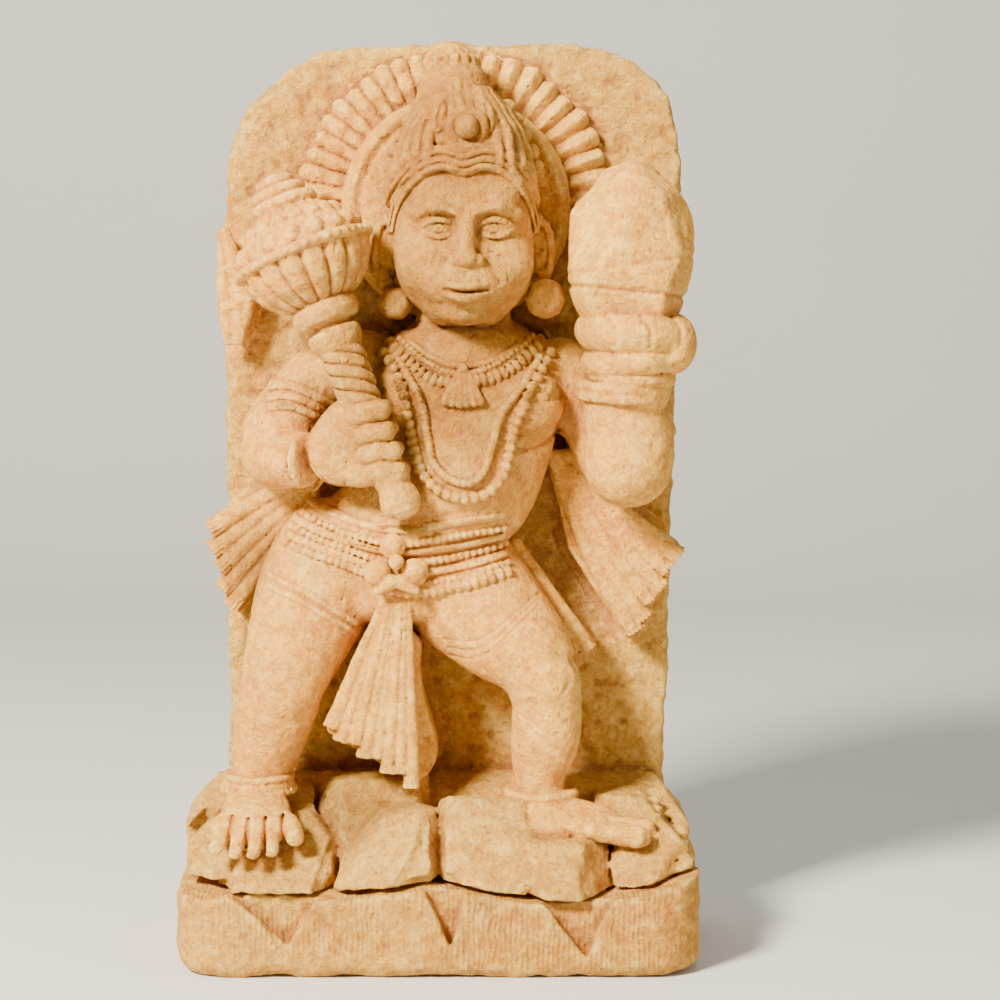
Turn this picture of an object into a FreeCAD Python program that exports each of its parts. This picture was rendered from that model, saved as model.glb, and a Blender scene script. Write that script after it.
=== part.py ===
"""Standing deity with a mace, carved in high relief on a round-topped slab over a rocky ledge and a plinth stone.

The row frame is in millimetres: +Z up, +X to the viewer's right, +Y into the slab, origin at the middle of the
plinth's underside. "Right" and "left" in the names are the figure's own, so its right hand is at the viewer's left.
The plinth, the mortar bed, the dowels and the carved block are separate stones and metal. The carved block is divided
into solids along its carved boundaries: a solid that meets an earlier one is cut back to it, so none overlap.
"""

import FreeCAD, Part
import math
import os

V = FreeCAD.Vector

# Driving dimensions
HEIGHT = 600.0
PLINTH_W, PLINTH_D = 340.0, 180.0
SEAM = ((-176, 50), (-120, 53), (-60, 53), (-5, 58), (50, 51), (105, 50), (145, 58), (176, 66))
BED_H = 2.5
SLAB_LEFT, SLAB_RIGHT, SLAB_THICK = -142.0, 162.0, 48.0
SLAB_TAPER = 8.0
SLAB_CORNER_LEFT, SLAB_CORNER_RIGHT = 95.0, 68.0
HALO_X, HALO_Z = 12.0, 492.0
DISC_R, HALO_R = 76.0, 104.0
HALO_RAYS = 27
DOWEL_R, DOWEL_L = 6.0, 50.0

# Levels and planes that follow from them
BACK = PLINTH_D / 2
SLAB_FRONT = BACK - SLAB_THICK
SEAM_LOW, SEAM_HIGH = min(z for x, z in SEAM), max(z for x, z in SEAM)
LEDGE = SEAM_LOW - 2
FAR = 900.0

parts = {}


# ---------------------------------------------------------------- shape helpers
def closed_curve(points):
    """A smooth closed wire through the points."""
    curve = Part.BSplineCurve()
    curve.interpolate(Points=points, PeriodicFlag=True)
    return Part.Wire([curve.toShape()])


def polygon(points):
    return Part.makePolygon(list(points) + [points[0]])


def oval(centre, along, half_width, half_depth, count=12):
    """An oval wire square to a direction, with its width in the frontal plane and its depth towards +Y."""
    along = V(along).normalize()
    hint = V(0, 1, 0) if abs(along.y) < 0.8 else V(0, 0, 1)
    depth = (hint - along * hint.dot(along)).normalize()
    width = depth.cross(along)
    angles = [2 * math.pi * k / count for k in range(count)]
    return closed_curve([centre + width * half_width * math.cos(a) + depth * half_depth * math.sin(a) for a in angles])


def limb(stations, round_start=0.8, round_end=0.8):
    """A smooth limb through stations of (x, y, z, half width, half depth), with rounded ends of the given fullness."""
    points = [V(*s[:3]) for s in stations]
    sizes = [s[3:] for s in stations]
    tangents = []
    for k in range(len(points)):
        tangents.append((points[min(k + 1, len(points) - 1)] - points[max(k - 1, 0)]).normalize())
    wires = [oval(p, t, *s) for p, t, s in zip(points, tangents, sizes)]

    def cap(point, tangent, size, reach):
        return [oval(point + tangent * reach * f, tangent, size[0] * r, size[1] * r)
                for f, r in ((0.55, 0.82), (0.9, 0.45))]

    start, end = [], []
    if round_start:
        start = cap(points[0], tangents[0], sizes[0], -round_start * min(sizes[0]))
    if round_end:
        end = cap(points[-1], tangents[-1], sizes[-1], round_end * min(sizes[-1]))
    return Part.makeLoft(start[::-1] + wires + end, True, False)


def turned(profile, base, axis):
    """A solid of revolution from (radius, distance along) pairs, standing at base along axis."""
    points = [V(r, 0, h) for r, h in profile]
    face = Part.Face(polygon([V(0, 0, profile[0][1])] + points + [V(0, 0, profile[-1][1])]))
    shape = face.revolve(V(0, 0, 0), V(0, 0, 1), 360)
    shape.Placement = FreeCAD.Placement(base, FreeCAD.Rotation(V(0, 0, 1), axis))
    return shape


def half_space(point, normal):
    """A large block that fills the side of a plane its normal points to."""
    block = Part.makeBox(FAR, FAR, FAR, V(-FAR / 2, -FAR / 2, 0))
    block.Placement = FreeCAD.Placement(point, FreeCAD.Rotation(V(0, 0, 1), normal)).multiply(block.Placement)
    return block


def block(low, high):
    return Part.makeBox(high.x - low.x, high.y - low.y, high.z - low.z, low)


def boulder(low, high, chops):
    """A faceted stone: a block with corners or edges struck off. A chop is (direction, depth of stone removed)."""
    stone = block(low, high)
    corners = [V(x, y, z) for x in (low.x, high.x) for y in (low.y, high.y) for z in (low.z, high.z)]
    for direction, depth in chops:
        normal = V(*direction).normalize()
        reach = max(c.dot(normal) for c in corners) - depth
        stone = stone.cut(half_space(normal * reach, normal))
    return stone


def pleated(sections, folds, back, front_start, front_end, relief):
    """Pleated cloth. sections run down it as ((x, z) of one edge, (x, z) of the other); folds are ridges between."""
    wires = []
    for k, ((xa, za), (xb, zb)) in enumerate(sections):
        share = k / (len(sections) - 1)
        front = front_start + (front_end - front_start) * share
        points = [V(xa, back, za)]
        for i in range(2 * folds + 1):
            f = i / (2 * folds)
            depth = front if i % 2 else front + relief * (0.4 + 0.6 * share)
            points.append(V(xa + (xb - xa) * f, depth, za + (zb - za) * f))
        points.append(V(xb, back, zb))
        wires.append(polygon(points))
    return Part.makeLoft(wires, True, True)


def plate(outline, front, back):
    """A frontal outline of (x, z) points, smooth and closed, given thickness from front to back."""
    face = Part.Face(closed_curve([V(x, front, z) for x, z in outline]))
    return face.extrude(V(0, back - front, 0))


def band(points, width):
    """A band of even width along a smooth frontal line of (x, z) points, as a deep prism in front of y = 0."""
    middle = Part.BSplineCurve()
    middle.interpolate([V(x, -FAR / 4, z) for x, z in points])
    sides = [[], []]
    for k in range(17):
        u = middle.FirstParameter + (middle.LastParameter - middle.FirstParameter) * k / 16
        across = middle.tangent(u)[0].cross(V(0, 1, 0))
        for side, sign in zip(sides, (-1, 1)):
            side.append(middle.value(u) + across * sign * width / 2)
    edges = []
    for side in sides:
        curve = Part.BSplineCurve()
        curve.interpolate(side)
        edges.append(curve.toShape())
    edges += [Part.makeLine(sides[0][k], sides[1][k]) for k in (0, -1)]
    return Part.Face(Part.Wire(Part.__sortEdges__(edges))).extrude(V(0, FAR / 4, 0))


def biggest(shape):
    return max(shape.Solids, key=lambda s: s.Volume)


def add(name, shape, neighbours=()):
    """Cuts a solid back to named earlier parts that it meets, and stores it."""
    for other in neighbours:
        if shape.BoundBox.intersect(parts[other].BoundBox):
            shape = shape.cut(parts[other])
    parts[name] = biggest(shape)


# ---------------------------------------------------------------- plinth, bed and ledge
def below_seam(rise):
    """Everything under the wavy joint between the plinth and the carved block, raised by rise."""
    curve = Part.BSplineCurve()
    curve.interpolate([V(x, -FAR / 4, z + rise) for x, z in SEAM])
    (x0, z0), (x1, z1) = SEAM[0], SEAM[-1]
    corners = [V(x1, -FAR / 4, z1 + rise), V(x1, -FAR / 4, -FAR / 4), V(x0, -FAR / 4, -FAR / 4),
               V(x0, -FAR / 4, z0 + rise)]
    edges = [curve.toShape()] + [Part.makeLine(a, b) for a, b in zip(corners, corners[1:])]
    return Part.Face(Part.Wire(edges)).extrude(V(0, FAR / 2, 0))


def make_plinth():
    radius = 34.0
    body = Part.makeBox(PLINTH_W, PLINTH_D, SEAM_HIGH + 4, V(-PLINTH_W / 2, -BACK, 0))
    upright = [e for e in body.Edges if abs(e.Vertexes[0].Z - e.Vertexes[1].Z) > 1 and e.Vertexes[0].Y < 0]
    body = body.makeFillet(radius, upright)
    under = [e for e in body.Edges if e.BoundBox.ZMax < 0.1 and e.BoundBox.YMin < BACK - 1]
    body = body.makeFillet(12.0, under)
    notch_depth = 10.0
    for x, half, foot in ((-108, 38, 22), (4, 15, 18), (86, 32, 14)):
        wire = polygon([V(x - half, 0, SEAM_HIGH), V(x + half, 0, SEAM_HIGH), V(x + half * 0.3, 0, foot)])
        wedge = Part.Face(wire).extrude(V(0, notch_depth, 0))
        wedge.translate(V(0, -BACK, 0))
        body = body.cut(wedge)
    return body.common(below_seam(0))


def make_base():
    """The plinth stone, the mortar bed and the two dowels that pin the carved block to it."""
    dowels = [Part.makeCylinder(DOWEL_R, DOWEL_L, V(x, 20, SEAM_LOW + BED_H - DOWEL_L / 2)) for x in (-85.0, 85.0)]
    pins = Part.makeCompound(dowels)
    parts["dowel_pins"] = pins
    parts["plinth"] = biggest(make_plinth().cut(pins))
    inset = 5.0
    bed = Part.makeBox(PLINTH_W - 4 * inset, PLINTH_D - 2 * inset, FAR / 4,
                       V(-PLINTH_W / 2 + 2 * inset, -BACK + 2 * inset, 0))
    corners = [e for e in bed.Edges if abs(e.Vertexes[0].Z - e.Vertexes[1].Z) > 1 and e.Vertexes[0].Y < 0]
    bed = bed.makeFillet(24.0, corners).common(below_seam(BED_H)).cut(below_seam(0))
    parts["bedding_mortar"] = biggest(bed.cut(pins))


def make_slab():
    cl, cr = SLAB_CORNER_LEFT, SLAB_CORNER_RIGHT
    half = math.sqrt(0.5)

    def at(x, z):
        return V(x, SLAB_FRONT, z)

    left_arc = Part.Arc(at(SLAB_LEFT, HEIGHT - cl), at(SLAB_LEFT + cl * (1 - half), HEIGHT - cl * (1 - half)),
                        at(SLAB_LEFT + cl, HEIGHT))
    right_arc = Part.Arc(at(SLAB_RIGHT - cr, HEIGHT), at(SLAB_RIGHT - cr * (1 - half), HEIGHT - cr * (1 - half)),
                         at(SLAB_RIGHT, HEIGHT - cr))
    low_left, low_right = at(SLAB_LEFT, LEDGE), at(SLAB_RIGHT - SLAB_TAPER, LEDGE)
    edges = [Part.makeLine(low_left, at(SLAB_LEFT, HEIGHT - cl)), left_arc.toShape(),
             Part.makeLine(at(SLAB_LEFT + cl, HEIGHT), at(SLAB_RIGHT - cr, HEIGHT)), right_arc.toShape(),
             Part.makeLine(at(SLAB_RIGHT, HEIGHT - cr), low_right), Part.makeLine(low_right, low_left)]
    slab = Part.Face(Part.Wire(edges)).extrude(V(0, SLAB_THICK, 0))
    parts["back_slab"] = biggest(slab.cut(below_seam(BED_H)).cut(parts["dowel_pins"]))


def make_ledge():
    """The rocky ledge: faceted stones in front of sloping ground."""
    stones = {
        "rock_under_right_foot": (V(-170, -88, LEDGE), V(-64, -8, 96), [((-1, -1, 0), 26), ((0, -1, 1.6), 34),
                                  ((1, -0.7, 0.2), 20), ((1, 0, 1), 14), ((-1, 0, 1), 12)]),
        "rock_front_left": (V(-72, -88, LEDGE), V(6, -20, 102), [((-1, -0.3, 0.9), 36), ((1, -0.3, 0.5), 12),
                            ((-0.3, -1, 0.8), 34), ((0.5, -1, 0.3), 12), ((0.2, 0, 1), 4)]),
        "rock_front_middle": (V(0, -88, LEDGE), V(64, -16, 108), [((-0.8, -0.3, 0.8), 18), ((1, -0.5, 0.5), 24),
                              ((0.1, -1, 0.7), 34), ((-0.5, -1, 0.2), 10), ((0, 0.3, 1), 5)]),
        "rock_under_left_foot": (V(44, -90, LEDGE), V(116, -14, 86), [((-1, -0.8, 0), 18), ((1, -0.8, 0.3), 26),
                                 ((0, -1, 1), 12), ((-0.6, -1, -0.5), 8)]),
        "rock_front_right": (V(104, -80, LEDGE), V(170, 10, 106), [((1, -1, 0.2), 30), ((1, 0, 1), 24),
                             ((0, -1, 1), 34), ((-1, -1, 0.5), 30)]),
        "rock_between_feet": (V(-84, -50, LEDGE), V(-6, 26, 114), [((-1, -0.4, 0.8), 26), ((0.7, -0.5, 1), 24),
                              ((0, -1, 1), 30), ((0, -0.4, 1), 7)]),
    }
    done = ["dowel_pins", "back_slab"]
    under = below_seam(BED_H)
    for name in ("rock_under_right_foot", "rock_under_left_foot", "rock_front_middle", "rock_front_left",
                 "rock_front_right", "rock_between_feet"):
        low, high, chops = stones[name]
        add(name, boulder(low, high, chops).cut(under), done)
        done.append(name)
    profile = [V(-168, y, z) for y, z in ((-62, LEDGE), (SLAB_FRONT, LEDGE), (SLAB_FRONT, 112), (8, 104), (-62, 72))]
    ground = Part.Face(polygon(profile)).extrude(V(334, 0, 0))
    for x, lean in ((-168, -1), (166, 1)):
        ground = ground.cut(half_space(V(x, 0, 88), V(lean, 0, 0.8)))
    add("rock_ground", ground.cut(under), done)


# ---------------------------------------------------------------- figure
def make_trunk():
    """Chest, belly and hips as one smooth form, split at the waist. Returns the form four millimetres fuller."""
    stations = [(-26, 6, 232, 52, 38), (-26, 4, 250, 70, 40), (-21, 4, 270, 62, 40), (-10, 3, 288, 52, 39),
                (8, 0, 310, 54, 42), (16, 1, 336, 58, 41), (18, 3, 364, 65, 41), (18, 6, 390, 66, 38),
                (18, 8, 408, 48, 34)]
    whole = limb(stations, 0.3, 0.3).cut(parts["back_slab"])
    waist = half_space(V(0, 0, 284), V(0.12, 0, 1))
    add("torso", whole.common(waist))
    add("hips", whole.cut(waist))
    outer = limb([(x, y, z, w + 4, d + 4) for x, y, z, w, d in stations], 0.3, 0.3)
    return outer.cut(parts["back_slab"])


def make_head():
    disc = turned([(DISC_R, 0), (DISC_R, 18), (DISC_R - 3, 24), (DISC_R - 9, 28)],
                  V(HALO_X, SLAB_FRONT, HALO_Z), V(0, -1, 0))
    add("halo_disc", disc, ["torso"])
    skull = limb([(18, -26, 428, 30, 27), (18, -23, 440, 40, 36), (17, -19, 456, 45, 42), (16, -16, 476, 46, 44),
                  (16, -14, 498, 45, 44), (15, -12, 520, 42, 42), (14, -10, 538, 34, 34)], 0.4, 0.5)
    muzzle = limb([(20, -40, 447, 30, 21), (21, -56, 446, 26, 18)], 0, 0.5)
    add("head", skull.fuse(muzzle), ["torso", "halo_disc"])
    neck = limb([(17, 6, 398, 34, 30), (17, 2, 430, 30, 30)], 0, 0)
    add("neck", neck, ["torso", "head", "halo_disc", "back_slab"])
    for side, x, lean in (("right", -33, 1), ("left", 66, -1)):
        ear = limb([(x - 4 * lean, -3, 444, 6, 6), (x, -2, 464, 9, 9), (x + 3 * lean, -2, 483, 8, 7)], 0.6, 0.7)
        add(side + "_ear", ear, ["head", "halo_disc", "neck", "torso"])
    for side, x, z, r in (("right", -28, 431, 11), ("left", 70, 434, 13)):
        stud = Part.makeSphere(r, V(x, -14, z))
        add(side + "_earring", stud, ["head", side + "_ear", "halo_disc", "neck", "torso"])


def make_halo():
    """The fan of pleats round the disc, scalloped at its rim, from just below level on the right up and over."""
    first, last = math.radians(-8), math.radians(190)
    step = (last - first) / HALO_RAYS
    depth = 16.0

    def rim(angle, radius):
        return V(HALO_X + radius * math.cos(angle), SLAB_FRONT - depth, HALO_Z + radius * math.sin(angle))

    edges = []
    for k in range(HALO_RAYS):
        a = first + k * step
        edges.append(Part.Arc(rim(a, HALO_R - 3), rim(a + step / 2, HALO_R), rim(a + step, HALO_R - 3)).toShape())
    inner = Part.Arc(rim(last, DISC_R - 6), rim((first + last) / 2, DISC_R - 6), rim(first, DISC_R - 6)).toShape()
    edges += [Part.makeLine(rim(last, HALO_R - 3), rim(last, DISC_R - 6)), inner,
              Part.makeLine(rim(first, DISC_R - 6), rim(first, HALO_R - 3))]
    fan = Part.Face(Part.Wire(edges)).extrude(V(0, depth, 0))
    add("pleated_halo", fan, ["halo_disc"])


def make_crown():
    near = ["head", "halo_disc", "pleated_halo", "right_ear", "left_ear", "back_slab"]
    tilt = V(0, 0.42, 1)
    brow = V(0, -14, 499)
    rim = limb([(16, -14, 486, 50, 49), (15, -12, 510, 50, 50), (14, -12, 546, 46, 48)], 0, 0)
    rim = rim.common(half_space(brow, tilt)).cut(half_space(brow + tilt * 14, tilt))
    add("headband", rim, near)
    cap = limb([(16, -14, 496, 47, 46), (15, -12, 518, 46, 46), (14, -8, 540, 40, 40), (11, -4, 562, 28, 30)], 0, 0)
    add("crown_cap", cap.common(half_space(brow, tilt)), near + ["headband"])
    drum = limb([(11, -4, 560, 25, 26), (9, 0, 580, 21, 22)], 0, 0)
    add("crown_drum", drum, near + ["crown_cap"])
    finial = limb([(9, 0, 580, 20, 20), (8, 2, 590, 16, 17), (8, 3, 600, 8, 9)], 0, 0)
    add("crown_finial", finial, near + ["crown_cap", "crown_drum"])
    jewel = turned([(13, 0), (13, 14), (9, 19), (4, 22)], V(17, -36, 541), V(0.1, -1, 0.1))
    add("crown_jewel", jewel, ["crown_cap", "headband", "head"])


def make_legs():
    """Each leg is one smooth form, split at the knee and at the ankle. Returns the upper thighs a little fuller."""
    ground = ["rock_ground", "rock_under_right_foot", "rock_under_left_foot", "rock_between_feet",
              "rock_front_middle", "rock_front_right", "rock_front_left"]
    right_hip = [(-66, 4, 270, 38, 38), (-80, 0, 240, 40, 40)]
    left_hip = [(8, 4, 250, 40, 36), (30, -2, 228, 40, 38)]
    right = limb(right_hip + [(-93, -10, 208, 34, 34), (-103, -18, 178, 28, 29), (-110, -16, 150, 25, 26),
                              (-119, -14, 118, 19, 20), (-121, -16, 100, 20, 21)], 0.8, 0)
    left = limb(left_hip + [(56, -18, 203, 32, 32), (70, -26, 180, 24, 26), (69, -22, 148, 21, 23),
                            (67, -20, 118, 17, 18), (67, -20, 96, 18, 19)], 0.8, 0)
    trunk = ["hips", "torso", "back_slab"]
    for side, leg, knee, ankle, slope, near in (
            ("right", right, V(-104, 0, 176), 112, V(0.35, 0, 1), trunk),
            ("left", left, V(72, 0, 184), 108, V(-0.9, 0, 1), trunk + ["right_thigh"])):
        above_knee, above_ankle = half_space(knee, slope), half_space(V(0, 0, ankle), V(0, 0, 1))
        add(side + "_thigh", leg.common(above_knee), near)
        add(side + "_shin", leg.cut(above_knee).common(above_ankle), ground + ["back_slab"])
        add(side + "_foot", make_foot(side, leg.cut(above_ankle)), ground + [side + "_shin"])
    return [limb([(x, y, z, w + 4, d + 4) for x, y, z, w, d in hip], 0.8, 0) for hip in (right_hip, left_hip)]


def make_foot(side, heel):
    """The heel from the leg, a sole and five toes. The right foot points forwards, the left one to the side."""
    if side == "right":
        sole = limb([(-120, -22, 102, 19, 14), (-119, -46, 96, 25, 12), (-119, -62, 90, 27, 9)], 0.5, 0.5)
        tips = [(-143, -78, 83), (-131, -82, 81), (-119, -83, 81), (-107, -81, 82), (-92, -70, 88)]
        roots = [(-138, -58, 91), (-128, -60, 92), (-118, -60, 92), (-108, -58, 92), (-98, -50, 95)]
    else:
        sole = limb([(56, -28, 95, 11, 20), (88, -36, 92, 11, 22), (112, -40, 90, 9, 22)], 0.5, 0.5)
        tips = [(134, -62, 87), (142, -50, 87), (146, -39, 88), (148, -29, 89), (146, -20, 89)]
        roots = [(112, -56, 89), (114, -47, 90), (116, -38, 91), (116, -29, 91), (114, -21, 91)]
    foot = heel.fuse(sole)
    for k, (root, tip) in enumerate(zip(roots, tips)):
        size = 7.0 if k == (4 if side == "right" else 0) else 5.5
        foot = foot.fuse(limb([root + (size, size), tip + (size * 0.9, size * 0.85)], 0.5, 0.8))
    return foot


def make_arms():
    body = ["torso", "hips", "neck", "halo_disc", "back_slab", "right_thigh", "left_thigh"]
    upper = limb([(-40, 12, 388, 24, 26), (-72, 8, 384, 25, 28), (-97, 2, 364, 26, 28), (-106, -2, 344, 28, 28)],
                 0.6, 0.6)
    add("right_upper_arm", upper, body)
    fore = limb([(-106, -6, 338, 26, 28), (-98, -26, 332, 24, 22), (-84, -42, 331, 20, 19)], 0.8, 0)
    add("right_forearm", fore, body + ["right_upper_arm"])
    upper = limb([(72, 14, 386, 26, 26), (104, 12, 356, 25, 26), (122, 4, 328, 26, 28)], 0.6, 0.6)
    add("left_upper_arm", upper, body)
    fore = limb([(125, -18, 322, 27, 27), (125, -24, 340, 29, 28), (120, -28, 362, 25, 24), (117, -30, 378, 22, 22)],
                0.8, 0)
    add("left_forearm", fore, body + ["left_upper_arm"])


def make_mace():
    """The mace leans back from the fist: pommel, shaft, collar, ribbed head and finial on one axis."""
    foot, top = V(-29, -56, 308), V(-106, -22, 506)
    axis = (top - foot).normalize()

    def at(distance):
        return foot + axis * distance

    add("mace_shaft", turned([(12, 8), (11, 70), (14, 74), (14, 124), (12, 130)], foot, axis))
    add("mace_pommel", turned([(6, -13), (12, -8), (14, 0), (11, 8)], foot + V(4, 0, 0), axis), ["mace_shaft"])
    add("mace_collar", turned([(13, 124), (23, 126), (25, 133), (22, 141)], foot, axis), ["mace_shaft"])
    bulb = [(22, 136), (34, 143), (41, 155), (44, 168), (41, 182), (33, 193), (22, 200)]
    add("mace_head", turned(bulb, foot, axis), ["mace_collar", "mace_shaft"])
    add("mace_finial", turned([(23, 200), (24, 206), (18, 210), (17, 217), (11, 222), (5, 225)], foot, axis),
        ["mace_head"])
    offset = V(-14, 6, 2)
    fist = limb([tuple(at(d) + offset) + size for d, size in ((28, (21, 16)), (44, (27, 20)), (60, (21, 16)))],
                0.7, 0.7)
    for k in range(4):
        knuckle = at(26 + 12.5 * k) + V(-6, -13, 0)
        tip = at(22 + 12.5 * k) + V(13, -2, 0)
        finger = limb([tuple(knuckle) + (7.5, 7.5), tuple((knuckle + tip) * 0.5 + V(2, -4, 0)) + (7.5, 7),
                       tuple(tip) + (6.5, 6.5)], 0.7, 0.7)
        fist = fist.fuse(finger)
    add("right_hand", fist, ["mace_shaft", "mace_pommel", "right_forearm", "torso", "hips", "right_upper_arm"])


def make_held_rock():
    """The rocky hill on the raised left palm, with the palm and the fingers as stacked rolls under and beside it."""
    hill = limb([(124, -30, 430, 36, 34), (124, -30, 452, 41, 38), (124, -28, 478, 41, 37), (124, -26, 500, 33, 30),
                 (122, -24, 514, 20, 20)], 0.5, 0.4)
    palm = limb([(122, -30, 384, 26, 24), (127, -30, 396, 38, 34), (128, -30, 408, 37, 33), (128, -30, 420, 38, 34),
                 (127, -30, 432, 35, 32)], 0.3, 0)
    near = ["back_slab", "halo_disc", "pleated_halo", "torso", "left_upper_arm", "left_forearm", "left_earring"]
    add("left_hand", palm, near)
    add("held_rock", hill, near + ["left_hand"])


# ---------------------------------------------------------------- cloth
def make_cloth():
    body = ["hips", "torso", "right_thigh", "left_thigh", "right_shin", "left_shin", "right_upper_arm",
            "right_forearm", "left_upper_arm", "left_forearm", "mace_head", "rock_ground", "rock_between_feet",
            "rock_front_middle", "rock_front_left", "back_slab", "right_hand"]
    apron = pleated([((-40, 240), (-16, 240)), ((-56, 196), (-11, 178)), ((-78, 150), (-10, 108))], 5, -14, -42, -38, 8)
    web = plate([(-30, 236), (-14, 236), (-8, 180), (-3, 118), (-14, 110), (-24, 170)], -16, SLAB_FRONT)
    add("front_apron", apron.fuse(web), body)
    right = pleated([((-88, 318), (-80, 296)), ((-124, 302), (-103, 258)), ((-158, 286), (-140, 214))], 5, SLAB_FRONT,
                    14, 6, 9)
    add("right_sash", right, body)
    left = pleated([((68, 332), (104, 332)), ((84, 264), (136, 290)), ((128, 196), (168, 270))], 6, SLAB_FRONT,
                   18, 6, 9)
    add("left_sash", left, body)
    end = pleated([((38, 272), (54, 272)), ((62, 232), (76, 238)), ((92, 190), (106, 198))], 2, SLAB_FRONT, 10, 6, 5)
    add("sash_end", end, body + ["left_sash"])
    tail = pleated([((-146, 478), (-138, 480)), ((-150, 438), (-116, 436)), ((-140, 400), (-130, 400))], 3, SLAB_FRONT,
                   12, 12, 8)
    add("tail_tip", tail, body)


# ---------------------------------------------------------------- ornaments
def make_ornaments(fuller_trunk, fuller_thighs):
    """Necklaces and girdle are bands of a form four millimetres outside the body, less the body itself."""
    trunk = ["torso", "hips", "neck", "head", "right_hand", "mace_shaft", "mace_pommel", "right_upper_arm",
             "left_upper_arm", "right_thigh", "left_thigh", "back_slab", "right_earring", "left_earring"]
    collar = band([(-38, 418), (-22, 396), (17, 383), (56, 396), (74, 416)], 12)
    add("short_necklace", collar.common(fuller_trunk), trunk)
    loop = band([(-34, 402), (-21, 356), (-8, 322), (19, 308), (44, 324), (55, 358), (70, 402)], 13)
    add("long_garland", loop.common(fuller_trunk), trunk + ["short_necklace"])
    fan = Part.Face(polygon([V(17, -60, 388), V(31, -60, 368), V(3, -60, 368)])).extrude(V(0, 40, 0))
    add("pendant", fan.common(block(V(-10, -46, 350), V(40, 0, 400))), trunk + ["short_necklace", "long_garland"])
    belt = band([(-100, 300), (-72, 280), (-32, 264), (8, 263), (44, 274)], 26)
    hug = belt.common(fuller_trunk).fuse([belt.common(thigh) for thigh in fuller_thighs])
    add("girdle", hug, trunk + ["front_apron"])
    rosettes = [Part.makeSphere(r, V(x, -39, z)) for x, z, r in ((-29, 271, 8), (-35, 257, 8), (-20, 258, 9))]
    cluster = rosettes[0].fuse(rosettes[1:])
    add("girdle_rosettes", cluster, trunk + ["girdle", "front_apron"])


def make_rings():
    """A ring is a thick disc across its limb, less the limb, so that it hugs it."""
    rings = [("right_armlet", V(-88, 6, 374), V(-1, 0, -0.9), 34, 12, ["right_upper_arm", "torso", "mace_shaft"]),
             ("right_bracelet", V(-84, -38, 332), V(0.85, -0.5, 0), 26, 11,
              ["right_forearm", "right_hand", "hips", "right_upper_arm", "torso", "right_thigh"]),
             ("left_bracelet", V(119, -29, 374), V(0, 0, 1), 28, 12, ["left_forearm", "left_hand", "left_upper_arm"]),
             ("right_anklet", V(-119, -15, 114), V(0, 0, 1), 24, 8, ["right_shin", "right_foot"]),
             ("left_anklet", V(68, -21, 104), V(0, 0, 1), 25, 10, ["left_shin", "left_foot"])]
    base = ["rock_ground", "rock_under_right_foot", "rock_under_left_foot", "rock_front_middle", "back_slab"]
    for name, centre, axis, radius, width, near in rings:
        half = width / 2
        profile = [(radius - 3, -half), (radius, -half * 0.5), (radius, half * 0.5), (radius - 3, half)]
        add(name, turned(profile, centre, axis), near + base)


def main():
    make_base()
    make_slab()
    make_ledge()
    fuller_trunk = make_trunk()
    make_head()
    make_halo()
    make_crown()
    fuller_thighs = make_legs()
    make_arms()
    make_mace()
    make_held_rock()
    make_cloth()
    make_ornaments(fuller_trunk, fuller_thighs)
    make_rings()
    os.makedirs("parts", exist_ok=True)
    for name, shape in parts.items():
        shape.exportStep("parts/" + name + ".step")


main()
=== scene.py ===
"""Looks for the carved stone relief.

The stone is sculpted as signed distance fields in millimetres, in the row frame: negative inside the stone.
The CAD nodes give the main forms and say which stone belongs to which piece. Carved detail is added as
blended forms, drawn lines and grain, and every piece is then meshed from the fields as its own closed mesh.
"""

import math

import bpy
import numpy as np
import openvdb as vdb
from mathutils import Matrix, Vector


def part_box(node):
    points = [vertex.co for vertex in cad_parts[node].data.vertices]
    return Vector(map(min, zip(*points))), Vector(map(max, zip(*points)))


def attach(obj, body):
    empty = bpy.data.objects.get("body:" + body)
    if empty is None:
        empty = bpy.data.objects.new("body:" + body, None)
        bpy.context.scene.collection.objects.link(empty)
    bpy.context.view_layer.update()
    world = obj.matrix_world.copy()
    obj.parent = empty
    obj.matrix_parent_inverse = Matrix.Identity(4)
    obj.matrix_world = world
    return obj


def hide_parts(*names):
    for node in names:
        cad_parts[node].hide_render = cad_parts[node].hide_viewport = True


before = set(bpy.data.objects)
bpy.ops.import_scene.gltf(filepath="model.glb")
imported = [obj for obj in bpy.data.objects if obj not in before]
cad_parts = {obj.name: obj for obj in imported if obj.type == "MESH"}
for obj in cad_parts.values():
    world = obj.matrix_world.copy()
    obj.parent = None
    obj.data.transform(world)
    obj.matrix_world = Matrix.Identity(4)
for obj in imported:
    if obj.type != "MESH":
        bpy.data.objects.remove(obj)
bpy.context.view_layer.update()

MM = 1000.0
FAR = 7.0                 # reach of the fields from a surface
SKIRT = 2.5               # stone kept around a form when it is blended in
CAST_STEP = 1.25          # voxel of the fields cast from the CAD nodes
LAP, DIVE = 2.4, 0.45     # how far a piece runs on under its neighbour, and how deep it dives there
REACH = 9.5               # how far carved detail may stand out beyond a node's box
COARSE = 1.0


# ---------------- fields
def blend_min(a, b, k):
    """Union of two fields with a fillet of about k."""
    if k <= 0:
        return np.minimum(a, b)
    share = np.maximum(k - np.abs(a - b), 0) / k
    return np.minimum(a, b) - share * share * (k / 4)


def smooth_step(value):
    """An even rise from 0 to 1, level at both ends."""
    value = np.clip(value, 0, 1)
    return value * value * (3 - 2 * value)


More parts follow.
